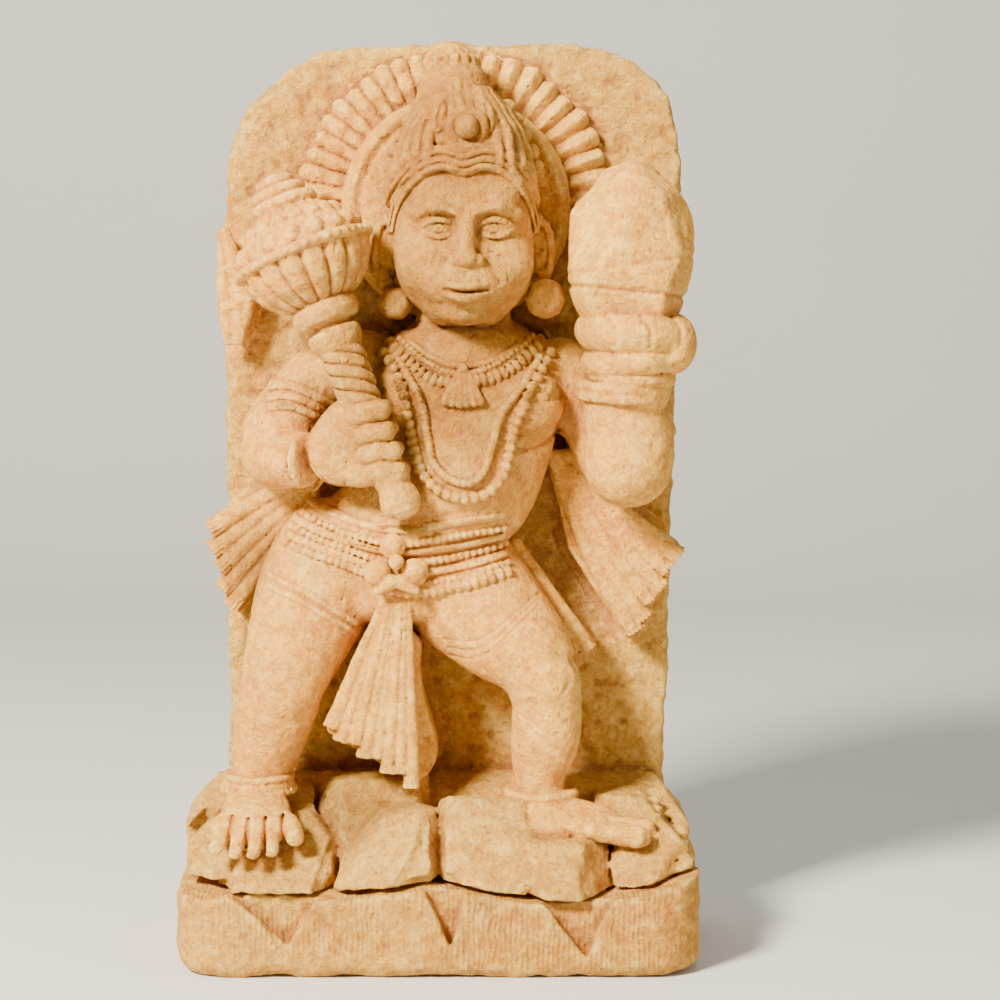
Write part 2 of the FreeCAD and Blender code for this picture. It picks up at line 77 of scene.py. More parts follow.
def resample(field, start, step, axes, smooth=False):
    """The values of a regular field at the crossings of three rows of coordinates."""
    out = field
    for k in range(3):
        place = np.clip(axes[k].ravel() / step - start[k], 0, field.shape[k] - 1.001)
        cell = place.astype(np.int64)
        share = (place - cell).astype(np.float32)
        if smooth:
            share = share * share * (3 - 2 * share)
        shape = [1, 1, 1]
        shape[k] = -1
        share = share.reshape(shape)
        low = np.take(out, cell, axis=k)
        out = low + (np.take(out, cell + 1, axis=k) - low) * share
    return out


class Clay:
    """A field over a box of the row frame, on voxels that sit at whole multiples of the step."""

    def __init__(self, low, high, step, fill=FAR):
        self.step = step
        self.start = np.floor(np.asarray(low, float) / step).astype(np.int64)
        count = np.ceil(np.asarray(high, float) / step).astype(np.int64) - self.start + 1
        self.field = np.full(count, fill, np.float32)

    def window(self, low, high):
        """Slices of the voxels inside a box, or None when there are none."""
        first = np.ceil(np.asarray(low, float) / self.step).astype(np.int64) - self.start
        last = np.floor(np.asarray(high, float) / self.step).astype(np.int64) - self.start + 1
        first, last = np.maximum(first, 0), np.minimum(last, self.field.shape)
        if (first >= last).any():
            return None
        return tuple(slice(int(a), int(b)) for a, b in zip(first, last))

    def axes(self, window=None):
        """The coordinates of a window's voxels, as three rows that broadcast."""
        window = window or tuple(slice(0, n) for n in self.field.shape)
        rows = [((np.arange(s.start, s.stop) + o) * self.step).astype(np.float32)
                for s, o in zip(window, self.start)]
        return rows[0][:, None, None], rows[1][None, :, None], rows[2][None, None, :]

    def sample(self, axes):
        """The field at the voxels of another clay."""
        return resample(self.field, self.start, self.step, axes)

    def bounds(self):
        """Lowest and highest corners, in mm."""
        return self.start * self.step, (self.start + np.array(self.field.shape) - 1) * self.step

    def add(self, form, blend=0.6):
        """Adds a form of stone, with a fillet."""
        window = self.window(form.low - blend - SKIRT, form.high + blend + SKIRT)
        if window:
            self.field[window] = blend_min(self.field[window], form.distance(*self.axes(window)), blend)

    def cut(self, form, blend=0.6):
        """Carves a form away, with a softened rim."""
        window = self.window(form.low - blend - SKIRT, form.high + blend + SKIRT)
        if window:
            self.field[window] = -blend_min(-self.field[window], form.distance(*self.axes(window)), blend)

    def shave(self, point, normal, blend):
        """Cuts off what lies beyond a plane, with a softened edge."""
        self.field = -blend_min(-self.field, beyond(point, normal)(*self.axes()), blend)

    def chain(self, points, radius, blend):
        """Adds a string of round bars through points."""
        for a, b in zip(points, points[1:]):
            self.add(rod(a, b, radius), blend)

    def merge(self, other, blend=0.0, gap=None):
        """Adds another clay. With a gap, the stone round it is first cut back by that much."""
        low, high = other.bounds()
        window = self.window(low, high)
        if window:
            field = other.sample(self.axes(window))
            if gap:
                self.field[window] = np.maximum(self.field[window], gap - field)
            self.field[window] = blend_min(self.field[window], field, blend)

    def swell(self, low, high, amount):
        """Moves the surface outwards inside a box by amount(x, y, z)."""
        window = self.window(low, high)
        if window:
            self.field[window] -= amount(*self.axes(window))

    def blur(self, radius):
        """Softens the field by a box blur of the given radius, run twice along each axis."""
        reach = max(1, int(round(radius / self.step)))
        for k in range(3):
            for _ in range(2):
                padded = np.concatenate([np.repeat(self.field.take([0], k), reach + 1, k), self.field,
                                         np.repeat(self.field.take([-1], k), reach, k)], k)
                total = np.cumsum(padded, axis=k, dtype=np.float64)
                span = 2 * reach + 1
                n = self.field.shape[k]
                upper = total.take(range(span, span + n), k)
                lower = total.take(range(0, n), k)
                self.field = ((upper - lower) / span).astype(np.float32)
        return self


class Form:
    """A solid given by its box and its signed distance."""

    def __init__(self, low, high, distance):
        self.low, self.high = np.asarray(low, float), np.asarray(high, float)
        self.distance = distance


def egg(centre, radii, axes=None):
    """An ellipsoid. axes, if given, are its three unit directions."""
    c, r = np.asarray(centre, float), np.asarray(radii, float)
    reach = r if axes is None else r.max()

    def distance(x, y, z):
        p = (x - c[0], y - c[1], z - c[2])
        if axes is not None:
            p = [a[0] * p[0] + a[1] * p[1] + a[2] * p[2] for a in axes]
        near = np.sqrt(sum((q / s) ** 2 for q, s in zip(p, r)))
        slope = np.sqrt(sum((q / s ** 2) ** 2 for q, s in zip(p, r)))
        return (near * (near - 1) / np.maximum(slope, 1e-5)).astype(np.float32)

    return Form(c - reach, c + reach, distance)


def ball(centre, radius):
    """A sphere."""
    c = np.asarray(centre, float)
    return Form(c - radius, c + radius,
                lambda x, y, z: np.sqrt((x - c[0]) ** 2 + (y - c[1]) ** 2 + (z - c[2]) ** 2) - radius)


def rod(a, b, ra, rb=None):
    """A round-ended bar whose radius runs from ra to rb."""
    rb = ra if rb is None else rb
    a, b = np.asarray(a, float), np.asarray(b, float)
    along = b - a
    length2 = max(float(along @ along), 1e-6)

    def distance(x, y, z):
        p = [x - a[0], y - a[1], z - a[2]]
        t = np.clip((p[0] * along[0] + p[1] * along[1] + p[2] * along[2]) / length2, 0, 1)
        p = [p[k] - t * along[k] for k in range(3)]
        return (np.sqrt(p[0] ** 2 + p[1] ** 2 + p[2] ** 2) - (ra + (rb - ra) * t)).astype(np.float32)

    reach = max(ra, rb)
    return Form(np.minimum(a, b) - reach, np.maximum(a, b) + reach, distance)


def hoop(centre, axis, radius, thickness):
    """A torus round an axis."""
    c, n = np.asarray(centre, float), unit(axis)

    def distance(x, y, z):
        p = (x - c[0], y - c[1], z - c[2])
        along = p[0] * n[0] + p[1] * n[1] + p[2] * n[2]
        across = np.sqrt(np.maximum(p[0] ** 2 + p[1] ** 2 + p[2] ** 2 - along ** 2, 0))
        return (np.hypot(across - radius, along) - thickness).astype(np.float32)

    return Form(c - radius - thickness, c + radius + thickness, distance)


def unit(v):
    """A direction of length 1."""
    v = np.asarray(v, float)
    return v / np.linalg.norm(v)


def beyond(point, normal):
    """The half-space that the normal points into, as a distance."""
    p, n = np.asarray(point, float), unit(normal)
    return lambda x, y, z: -((x - p[0]) * n[0] + (y - p[1]) * n[1] + (z - p[2]) * n[2])


def trimmed(form, side):
    """A form cut off by a half-space."""
    return Form(form.low, form.high, lambda x, y, z: np.maximum(form.distance(x, y, z), -side(x, y, z)))


class Axis:
    """A turning axis, with cylindrical coordinates round it."""

    def __init__(self, foot, top):
        self.foot = np.asarray(foot, float)
        self.along = unit(np.asarray(top, float) - self.foot)
        side = unit(np.cross(self.along, (0, 1, 0)))
        self.sides = side, np.cross(side, self.along)

    def at(self, height, angle=0.0, radius=0.0):
        """The point at a height, a radius and a bearing: 0 is to the side, 90 degrees is to the front."""
        turn = math.radians(angle)
        return self.foot + self.along * height + (self.sides[0] * math.cos(turn)
                                                  - self.sides[1] * math.sin(turn)) * radius

    def coordinates(self, x, y, z):
        """Height, radius and angle."""
        p = (x - self.foot[0], y - self.foot[1], z - self.foot[2])
        height = sum(q * a for q, a in zip(p, self.along))
        u = sum(q * a for q, a in zip(p, self.sides[0]))
        v = -sum(q * a for q, a in zip(p, self.sides[1]))
        return height, np.hypot(u, v), np.arctan2(v, u)


def turned(axis, profile, flutes=0, depth=0.0, twist=0.0, steep=0.85):
    """A turned solid. profile is (height, radius) pairs; flutes are cut into it, with a twist."""
    heights, radii = np.array(profile, float).T
    reach = radii.max()
    ends = np.array([axis.at(heights[0]), axis.at(heights[-1])])

    def distance(x, y, z):
        h, r, turn = axis.coordinates(x, y, z)
        wall = np.interp(h.ravel(), heights, radii).reshape(h.shape)
        if flutes:
            wave = np.abs(np.sin(flutes / 2 * turn + twist * h))
            wall = wall - depth * (1 - wave) ** 2
        side = (r - wall) * steep
        return np.maximum(np.maximum(side, heights[0] - h), h - heights[-1]).astype(np.float32)

    return Form(ends.min(0) - reach, ends.max(0) + reach, distance)


class Line:
    """A smooth line in the frontal plane through (x, z) points."""

    def __init__(self, points, steps=8):
        p = np.asarray(points, float)
        p = np.vstack([2 * p[0] - p[1], p, 2 * p[-1] - p[-2]])
        t = np.linspace(0, 1, steps, endpoint=False)[:, None]
        runs = []
        for a, b, c, d in zip(p, p[1:], p[2:], p[3:]):
            runs.append(0.5 * (2 * b + (c - a) * t + (2 * a - 5 * b + 4 * c - d) * t ** 2
                               + (3 * b - a - 3 * c + d) * t ** 3))
        self.points = np.vstack(runs + [p[-2:-1]])
        self.lengths = np.concatenate([[0], np.cumsum(np.linalg.norm(np.diff(self.points, axis=0), axis=1))])
        self.length = self.lengths[-1]

    def place(self, distance):
        """The (x, z) point at a distance along the line."""
        return (np.interp(distance, self.lengths, self.points[:, 0]),
                np.interp(distance, self.lengths, self.points[:, 1]))

    def spread(self, pitch):
        """Evenly spaced distances along the line, about a pitch apart."""
        count = max(2, int(round(self.length / pitch)))
        return (np.arange(count) + 0.5) * self.length / count

    def measure(self, x, z):
        """Distance from the line, and distance along it, for each (x, z)."""
        best = np.full(np.broadcast_shapes(x.shape, z.shape), 1e6, np.float32)
        along = np.zeros_like(best)
        for (ax, az), (bx, bz), s0 in zip(self.points, self.points[1:], self.lengths):
            dx, dz = bx - ax, bz - az
            span = max(math.hypot(dx, dz), 1e-6)
            t = np.clip(((x - ax) * dx + (z - az) * dz) / span ** 2, 0, 1)
            gap = np.hypot(x - ax - t * dx, z - az - t * dz)
            nearer = gap < best
            best = np.where(nearer, gap, best)
            along = np.where(nearer, s0 + t * span, along)
        return best, along


def draw(clay, line, height, width, back, profile="cord"):
    """Raises a cord along a frontal line, in front of y = back. A negative height engraves."""
    reach = width * (1 if profile == "cord" else 2.2)
    low, high = line.points.min(0) - reach, line.points.max(0) + reach
    window = clay.window((low[0], -200, low[1]), (high[0], back + 3, high[1]))
    if not window:
        return
    x, y, z = clay.axes(window)
    gap, along = line.measure(x[:, 0, :], z[:, 0, :])
    if profile == "cord":
        shape = np.sqrt(np.clip(1 - (gap / width) ** 2, 0, 1))
    else:
        shape = np.exp(-(gap / width) ** 2)
    fade = smooth_step((back + 3 - y) / 3)
    ends = smooth_step(along / (width + 0.1)) * smooth_step((line.length - along) / (width + 0.1))
    clay.field[window] -= (height * (shape * ends)[:, None, :] * fade).astype(np.float32)


def groove(clay, points, depth, width, back):
    """Engraves a soft-sided line through frontal (x, z) points."""
    draw(clay, Line(points), -depth, width, back, "groove")


# ---------------- grain
class Noise:
    """Seeded value noise from -1 to 1, the same for every clay."""

    def __init__(self, cell, seed, low, high):
        self.cell = cell
        self.start = np.floor(np.asarray(low, float) / cell).astype(np.int64) - 1
        count = np.ceil(np.asarray(high, float) / cell).astype(np.int64) - self.start + 3
        self.values = np.random.default_rng(seed).uniform(-1, 1, count).astype(np.float32)

    def sample(self, axes):
        return resample(self.values, self.start, self.cell, axes, smooth=True)


# ---------------- the CAD nodes as fields
BOX = {name: tuple(np.array(corner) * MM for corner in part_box(name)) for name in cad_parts}
LOW = np.min([low for low, high in BOX.values()], axis=0)
HIGH = np.max([high for low, high in BOX.values()], axis=0)


def at(node, fx=0.5, fy=0.5, fz=0.5, move=(0, 0, 0)):
    """A point in mm at shares of a node's box: left to right, front to back, bottom to top."""
    low, high = BOX[node]
    return low + (high - low) * (fx, fy, fz) + move


def frontal(node, fx=0.5, fz=0.5):
    """The (x, z) point at shares of a node's box."""
    return at(node, fx, 0, fz)[[0, 2]]


def on_front(node, pairs):
    """The (x, z) points at several pairs of shares of a node's box."""
    return [frontal(node, *pair) for pair in pairs]


def near(point, offsets):
    """(x, z) points at offsets from one."""
    return [point + offset for offset in offsets]


def half_width(node):
    """Half of a node's box from left to right, in mm."""
    return (BOX[node][1][0] - BOX[node][0][0]) / 2


def cast(node, soften=0.0):
    """The field of a CAD node."""
    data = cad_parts[node].data
    points = np.empty(len(data.vertices) * 3, np.float32)
    data.vertices.foreach_get("co", points)
    points = points.reshape(-1, 3) * MM
    data.calc_loop_triangles()
    corners = np.empty(len(data.loop_triangles) * 3, np.int32)
    data.loop_triangles.foreach_get("vertices", corners)
    clay = Clay(points.min(0) - FAR - 3, points.max(0) + FAR + 3, CAST_STEP)
    grid = vdb.FloatGrid.createLevelSetFromPolygons(
        points, triangles=corners.reshape(-1, 3).astype(np.uint32),
        transform=vdb.createLinearTransform(voxelSize=CAST_STEP), halfWidth=FAR / CAST_STEP)
    grid.copyToArray(clay.field, ijk=tuple(int(i) for i in clay.start))
    return clay.blur(soften) if soften else clay


def union(clays, soften=0.0):
    """Several clays as one."""
    corners = np.array([clay.bounds() for clay in clays])
    whole = Clay(corners[:, 0].min(0), corners[:, 1].max(0), CAST_STEP)
    for clay in clays:
        whole.merge(clay)
    return whole.blur(soften) if soften else whole


CASTS = {name: cast(name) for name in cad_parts}


# ---------------- body
def make_body():
    """Trunk and limbs, softened into one form, with the muscles and joints laid on."""
    parts = ("upper_arm", "forearm", "thigh", "shin")
    limbs = [f"{side}_{part}" for side in ("right", "left") for part in parts]
    body = union([CASTS[name] for name in ("torso", "hips", "neck", *limbs)], 2.4)
    chest = at("torso", 0.5, 0.0, 0.6)
    body.add(egg(chest + (53, 24, 3), (25, 21, 22)), 6)
    body.add(egg(chest + (-24, 24, 7), (26, 20, 22)), 6)
    body.add(egg(at("torso", 0.55, 0.38, 0.27), (43, 36, 34)), 9)
    body.add(egg(at("hips", 0.52, 0.36, 0.86), (50, 33, 20)), 8)
    body.add(egg(at("left_shin", 0.55, 0.24, 0.86), (16, 14, 14)), 6)
    body.add(egg(at("right_shin", 0.62, 0.24, 0.86), (18, 14, 15)), 6)
    body.add(egg(at("left_shin", 0.62, 0.42, 0.48), (17, 20, 30)), 8)
    body.add(egg(at("right_upper_arm", 0.30, 0.3, 0.40), (26, 24, 24)), 8)
    body.add(egg(at("left_forearm", 0.48, 0.42, 0.32), (27, 27, 26)), 8)
    body.shave(at("right_upper_arm", 0.30, 0.5, 0.74), (-0.72, -0.25, 0.66), 14)
    return body


BODY = make_body()


class Front:
    """The first surface from the front of a clay, as a y for each (x, z)."""

    def __init__(self, clay):
        inside = clay.field < 0
        first = np.argmax(inside, axis=1)
        hit = inside.any(axis=1) & (first > 0)
        i, k = np.indices(first.shape)
        before, after = clay.field[i, np.maximum(first - 1, 0), k], clay.field[i, first, k]
        share = before / np.where(before - after == 0, 1, before - after)
        depth = (first - 1 + share + clay.start[1]) * clay.step
        self.depth = np.where(hit, depth, BOX["back_slab"][0][1]).astype(np.float32)
        self.start, self.step = clay.start, clay.step

    def at(self, x, z, lift=0.0):
        """The surface point at (x, z), lifted towards the front."""
        u = np.clip(x / self.step - self.start[0], 0, self.depth.shape[0] - 1.001)
        w = np.clip(z / self.step - self.start[2], 0, self.depth.shape[1] - 1.001)
        i, k = int(u), int(w)
        a, b = u - i, w - k
        corners = self.depth[i:i + 2, k:k + 2]
        y = float((corners[0] * (1 - a) + corners[1] * a) @ (1 - b, b))
        return np.array((x, y - lift, z))


BODY_FRONT = Front(BODY)


def body_detail(clay):
    """The line under the breast, the waist, the knee, and the hems of the short cloth on both thighs."""
    chest, knee = frontal("torso", 0.5, 0.6), frontal("left_shin", 0.5, 0.86)
    left, right = frontal("left_thigh"), frontal("right_thigh")
    groove(clay, near(chest, ((40, -21), (50, -26), (64, -24), (78, -14))), 1.7, 1.7, 10)
    groove(clay, on_front("hips", ((0.12, 1.05), (0.5, 0.98), (0.98, 1.12))), 0.8, 2.2, 0)
    for side in (-1, 1):
        groove(clay, near(knee, ((11 * side, 9), (14 * side, 0), (9 * side, -10))), 0.9, 2.2, -20)
    for k in range(3):
        hem = (-32 + 2 * k, -6 - 6 * k), (-8, -4 - 6 * k), (20, 17 - 4 * k), (32, 24 - 3 * k)
        groove(clay, near(left, hem), 0.9, 1.0, 5)
    for k in range(2):
        hem = (-26, 20 - 7 * k), (0, 10 - 7 * k), (22, -4 - 7 * k), (36, -14 - 7 * k)
        draw(clay, Line(near(right, hem)), 1.5, 1.9, 5)


# ---------------- hands and feet
def make_right_hand(clay):
    """A fist round the mace: the back of the hand on the outside, four fingers rolled over the shaft."""
    hand = Clay(BOX["right_hand"][0] - 10, BOX["right_hand"][1] + 10, clay.step)
    hand.add(egg(at("right_hand", 0.32, 0.58, 0.30), (21, 18, 24)), 0)
    hand.add(egg(at("right_hand", 0.42, 0.44, 0.55), (19, 15, 20)), 6)
    hand.add(egg(at("right_hand", 0.52, 0.38, 0.02), (14, 10, 9)), 5)
    knuckle, tip = at("right_hand", 0.36, 0.30, 0.66), at("right_hand", 0.72, 0.20, 0.80)
    for k in range(4):
        a, b = knuckle + np.array((5.0, 0.6, -11.0)) * k, tip + np.array((3.6, 1.0, -13.2)) * k
        middle = (a + b) / 2 + (0, -2.5, 1.5)
        finger = Clay(np.minimum(a, b) - 14, np.maximum(a, b) + 14, clay.step)
        finger.add(rod(a, middle, 6.4, 7.2), 0)
        finger.add(rod(middle, b, 7.2, 6.4), 1.5)
        finger.add(rod(b, b + (3, 10, 1), 6.2, 5.0), 2)
        hand.merge(finger, 1.0)
    clay.merge(hand, 1.2)


def make_left_hand(clay):
    """The palm and the fingers folded under the rock, as two thick rolls and a thin one over the wrist."""
    middle = at("left_hand", 0.5, 0.5, 0.5)
    clay.add(rod(at("left_hand", 0.5, 0.5, 0.1), at("left_hand", 0.5, 0.5, 0.9), 24, 26), 2)
    for rise, radius, thick, lean in ((-20, 24.0, 4.6, 0.04), (-9, 25.0, 8.4, -0.06), (9, 24.0, 13.2, 0.05)):
        clay.add(hoop(middle + (-2, 0, rise), (lean, 0, 1), radius, thick), 1.4)
    clay.add(egg(middle + (25, -8, 2), (14, 18, 19)), 4)
    for x in (-20, 2, 22):
        groove(clay, near(frontal("left_hand"), ((x - 2, 22), (x + 5, 12), (x + 5, 0))), 1.2, 1.6, -30)


def make_foot(clay, side):
    """The foot from its CAD form, with an instep, nails and gaps between the toes."""
    clay.merge(FEET[side], 2.5)
    if side == "right":
        clay.add(rod(at("right_foot", 0.45, 0.62, 0.48), at("right_foot", 0.45, 0.30, 0.36), 16, 13), 5)
        for k in range(4):
            gap = frontal("right_foot", 0.20 + 0.195 * k, 0)
            groove(clay, near(gap, ((1.6 * (2 - k), 25), (0, 3))), 3.2, 1.5, -46)
        for k in range(4):
            tip = at("right_foot", 0.11 + 0.195 * k, 0.06, 0.42)
            clay.add(egg(tip, (3.4, 3.6, 2.4)), 0.6)
        return
    clay.add(rod(at("left_foot", 0.24, 0.60, 0.62), at("left_foot", 0.62, 0.42, 0.42), 12.5, 10.5), 6)
    clay.add(egg(at("left_foot", 0.22, 0.52, 0.34), (25, 23, 9)), 5)
    toes = ((0.80, 0.06, 6.8), (0.87, 0.27, 6.0), (0.93, 0.46, 5.6), (0.95, 0.64, 5.2), (0.94, 0.80, 4.8))
    for fx, fy, size in toes:
        tip = at("left_foot", fx, fy, 0.24 + 0.50 * fy)
        clay.add(rod(tip - (26, -2, -3), tip, size * 0.85, size), 1.0)
        clay.add(ball(tip + (2, 0, 0), size * 1.1), 0.8)
        clay.add(egg(tip + (5, -2, 3.4), (3.0, 2.6, 1.8)), 0.5)


FEET = {side: union([CASTS[side + "_foot"]], 1.0) for side in ("right", "left")}


# ---------------- mace
MACE = Axis(at("mace_pommel"), at("mace_finial"))
MACE_LENGTH = float(np.linalg.norm(at("mace_finial") - at("mace_pommel")))


def make_mace(clay):
    """Pommel, twisted shaft, collar, a head with ribs, a beaded ring and knobs, and stacked rings on top."""
    top = MACE_LENGTH
    pommel = [(-13, 2), (-12, 7), (-8, 11.5), (-2, 13.5), (4, 12.5), (9, 10.5), (12, 11.5), (16, 12),
              (20, 9.5)]
    clay.add(turned(MACE, pommel), 0.6)
    clay.add(turned(MACE, [(14, 10), (60, 13), (96, 15), (110, 14)], 4, 3.4, 0.34, 0.75), 0.6)
    sleeve = [(103, 13.5), (106, 16), (110, 17.5), (114, 18), (117, 17), (118, 13.5), (127, 13)]
    clay.add(turned(MACE, sleeve), 0.8)
    clay.add(turned(MACE, [(121, 14), (123, 20), (128, 22.5), (134, 22), (138, 18)]), 1.0)
    low, middle, high = top - 76, top - 41, top - 8
    ribs, knobs, beads = 16, 16, 40
    lower = [(low, 19), (low + 5, 28), (low + 13, 37), (low + 23, 42.5), (middle - 2, 44.0)]
    clay.add(turned(MACE, lower, ribs, 4.6), 0.8)
    upper = [(middle - 2, 43.5), (middle + 7, 41.5), (middle + 17, 35.5), (middle + 26, 27), (high, 19)]
    clay.add(turned(MACE, upper, knobs, 1.6), 0.8)
    for k in range(knobs):
        turn = 360 / knobs * k
        clay.add(egg(MACE.at(middle + 9, turn, 37.0), (6.8, 6.8, 6.8)), 0.8)
        clay.add(egg(MACE.at(middle + 20, turn + 11, 29.0), (5.6, 5.6, 5.6)), 0.8)
    clay.add(hoop(MACE.at(middle), MACE.along, 43.5, 3.4), 0.8)
    for k in range(beads):
        clay.add(ball(MACE.at(middle, 360 / beads * k, 46.0), 2.4), 0.4)
    finial = ((-2, 21), (1, 23), (5, 22), (7, 17), (10, 18.5), (13, 17.5), (15, 12.5), (18, 13), (20, 11),
              (22, 6), (23, 2))
    clay.add(turned(MACE, [(high + rise, radius) for rise, radius in finial]), 0.8)


# ---------------- held rock
def make_held_rock(clay):
    """A rounded hill with flat dressed faces and bedding creases."""
    hill = union([CASTS["held_rock"]], 2.0)
    middle = at("held_rock")
    faces = (((-0.75, -0.75, 0.25), 33), ((0.35, -0.95, 0.15), 34), ((0.95, -0.55, 0.35), 37),
             ((-0.7, -0.35, 0.75), 41), ((0.62, -0.45, 0.75), 43), ((-0.1, -1.0, -0.35), 37),
             ((0.9, -0.4, -0.3), 40), ((-1, 0, 0.05), 39.5), ((-0.2, -0.8, 0.6), 41))
    for normal, reach in faces:
        hill.shave(middle + unit(normal) * reach, normal, 1.6)
    clay.merge(hill, 1.0)
    clay.add(egg(middle + (30, 4, 2), (11, 20, 22)), 3)
    for rise, lean, depth in ((-30, 0.10, 2.0), (-13, -0.14, 0.9), (14, 0.30, 0.8)):
        normal = unit((lean, 0.05, 1))
        origin = middle + (0, 0, rise)

        def crease(x, y, z, origin=origin, normal=normal, depth=depth):
            off = (x - origin[0]) * normal[0] + (y - origin[1]) * normal[1] + (z - origin[2]) * normal[2]
            return (-depth * np.exp(-(off / 1.8) ** 2)).astype(np.float32)
        low, high = BOX["held_rock"]
        clay.swell(low - 4, high + (4, -8, 4), crease)


# ---------------- cloth
def pleats(clay, node, tops, ends, count, sizes, depths, bow=(0, 0), ragged=0.0, fringe=0.0):
    """A fan of rolled pleats, cut square at the hem. The first and the last pleat run between tops and ends,
    given as shares of the node's box. sizes and depths are a pleat's radius and the y of its middle, at the
    top and at the end, and bow pushes its middle aside."""
    tops, ends = on_front(node, tops), on_front(node, ends)
    for k in range(count):
        share = (k + 0.5) / count
        a = tops[0] + (tops[1] - tops[0]) * share
        b = ends[0] + (ends[1] - ends[0]) * share
        b = b + (b - a) / np.linalg.norm(b - a) * ragged * (1 if k % 2 else -0.6)
        middle = (a + b) / 2 + np.array(bow) * (1 - 0.35 * share)
        steps = 5
        path = [(1 - t) ** 2 * a + 2 * t * (1 - t) * middle + t * t * b for t in np.linspace(0, 1, steps)]
        along = (b - path[-2]) / np.linalg.norm(b - path[-2])
        path.append(b + along * sizes[1])
        hem = beyond((b[0], 0, b[1]), (along[0], 0, along[1]))
        for i in range(steps):
            t0, t1 = i / (steps - 1), min(1, (i + 1) / (steps - 1))
            r0, r1 = (sizes[0] + (sizes[1] - sizes[0]) * t for t in (t0, t1))
            y0, y1 = (depths[0] + (depths[1] - depths[0]) * t + 0.8 * math.sin(k * 2.1) for t in (t0, t1))
            p, q = path[i], path[i + 1]
            clay.add(trimmed(rod((p[0], y0, p[1]), (q[0], y1, q[1]), r0, r1), hem), 0.7)
        if fringe:
            across = np.array((-along[1], along[0]))
            for j in range(-2, 3):
                tip = b + across * sizes[1] * 0.4 * j
                groove(clay, [tip - along * fringe, tip + along * 2], 1.0, 0.8, depths[1])


def make_cloth(clay):
    """The apron, the sashes and the tail tip: a backing sunk below the CAD form, with pleats laid on it."""
    for name, sunk in (("front_apron", 3.0), ("right_sash", 3.5), ("left_sash", 3.5), ("sash_end", 3.5),
                       ("tail_tip", 3.5)):
        backing = union([CASTS[name]], 1.5)
        backing.field += sunk
        clay.merge(backing, 1.5)
    pleats(clay, "front_apron", ((0.50, 0.97), (0.74, 0.97)), ((0.05, 0.36), (0.80, 0.05)), 8, (2.2, 5.8),
           (-34, -35), (0, 2), 3.0)
    pleats(clay, "right_sash", ((0.95, 0.98), (0.99, 0.82)), ((0.04, 0.68), (0.26, 0.05)), 5, (3.4, 7.4),
           (18, 16), (4, 8), 1.5, 9)
    pleats(clay, "left_sash", ((0.06, 0.98), (0.22, 0.98)), ((0.62, 0.06), (0.95, 0.52)), 6, (3.4, 7.6),
           (22, 16), (-6, -10), 1.5, 9)
    pleats(clay, "sash_end", ((0.05, 0.95), (0.25, 0.98)), ((0.78, 0.05), (0.96, 0.12)), 2, (4.0, 6.5),
           (16, 14), (0, 0), 1.5, 8)
    pleats(clay, "tail_tip", ((0.16, 0.96), (0.30, 0.97)), ((0.20, 0.30), (0.80, 0.42)), 4, (2.6, 6.0),
           (22, 21), (0, 0), 1.0)
    pleats(clay, "tail_tip", ((0.20, 0.32), (0.76, 0.40)), ((0.30, 0.03), (0.52, 0.03)), 4, (5.6, 3.4),
           (21, 23))


# ---------------- jewellery
def bead_row(clay, line, pitch, size, lift=0.35, lean=1.0):
    """Beads on the body along a frontal line; lean over 1 makes them longer across the line."""
    for s in line.spread(pitch):
        x, z = line.place(s)
        x2, z2 = line.place(s + 0.5)
        along = unit((x2 - x, 0, z2 - z))
        across = np.cross(along, (0, 1, 0))
        middle = BODY_FRONT.at(x, z, size * lift)
        clay.add(egg(middle, (size, size, size * lean), (along, (0, 1, 0), across)), 0.5)


def make_necklaces(clay):
    """Two folds of the throat, a short necklace of two rows and a long garland of two rows of beads."""
    for drop, height in ((0, 1.8), (6, 1.4)):
        throat = frontal("torso", 0.58, 0.85) - (0, drop)
        draw(clay, Line(near(throat, ((-38, 10), (-18, -3), (0, -7), (22, -2), (40, 10)))), height, 1.9, 5)
    lower = (-0.03, 1.02), (0.26, 0.25), (0.47, 0.10), (0.72, 0.28), (1.0, 0.97)
    upper = (0.03, 1.1), (0.29, 0.44), (0.48, 0.27), (0.69, 0.46), (0.95, 1.08)
    outer = ((0.02, 1.0), (0.13, 0.80), (0.20, 0.42), (0.25, 0.22), (0.35, 0.10), (0.50, 0.05), (0.64, 0.09),
             (0.73, 0.25), (0.78, 0.50), (0.86, 0.72), (0.94, 0.88), (1.0, 1.0))
    inner = ((0.10, 0.97), (0.24, 0.70), (0.29, 0.42), (0.32, 0.28), (0.40, 0.18), (0.52, 0.15), (0.61, 0.23),
             (0.66, 0.42), (0.71, 0.60), (0.83, 0.78), (0.93, 0.96))
    bead_row(clay, Line(on_front("short_necklace", lower)), 4.6, 2.6, 0.5, 1.7)
    bead_row(clay, Line(on_front("short_necklace", upper)), 3.4, 2.1, 0.6)
    bead_row(clay, Line(on_front("long_garland", outer)), 6.0, 3.8, 0.45)
    bead_row(clay, Line(on_front("long_garland", inner)), 3.6, 3.1, 0.45, 0.9)


def make_pendant(clay):
    """A fluted fan under the necklace, with a rolled hem."""
    top, low = at("pendant", 0.47, 0.5, 1.02), at("pendant", 0.47, 0.5, 0.0)
    count = 6
    for k in range(count):
        spread = (k - (count - 1) / 2) * 4.6
        foot = BODY_FRONT.at(low[0] + spread, low[2] - 1 + 0.14 * abs(spread), 3.0)
        clay.add(rod(BODY_FRONT.at(top[0] + spread * 0.2, top[2], 2.2), foot, 1.8, 3.0), 0.4)
    clay.add(ball(BODY_FRONT.at(top[0], top[2] + 1, 3.0), 3.6), 0.6)


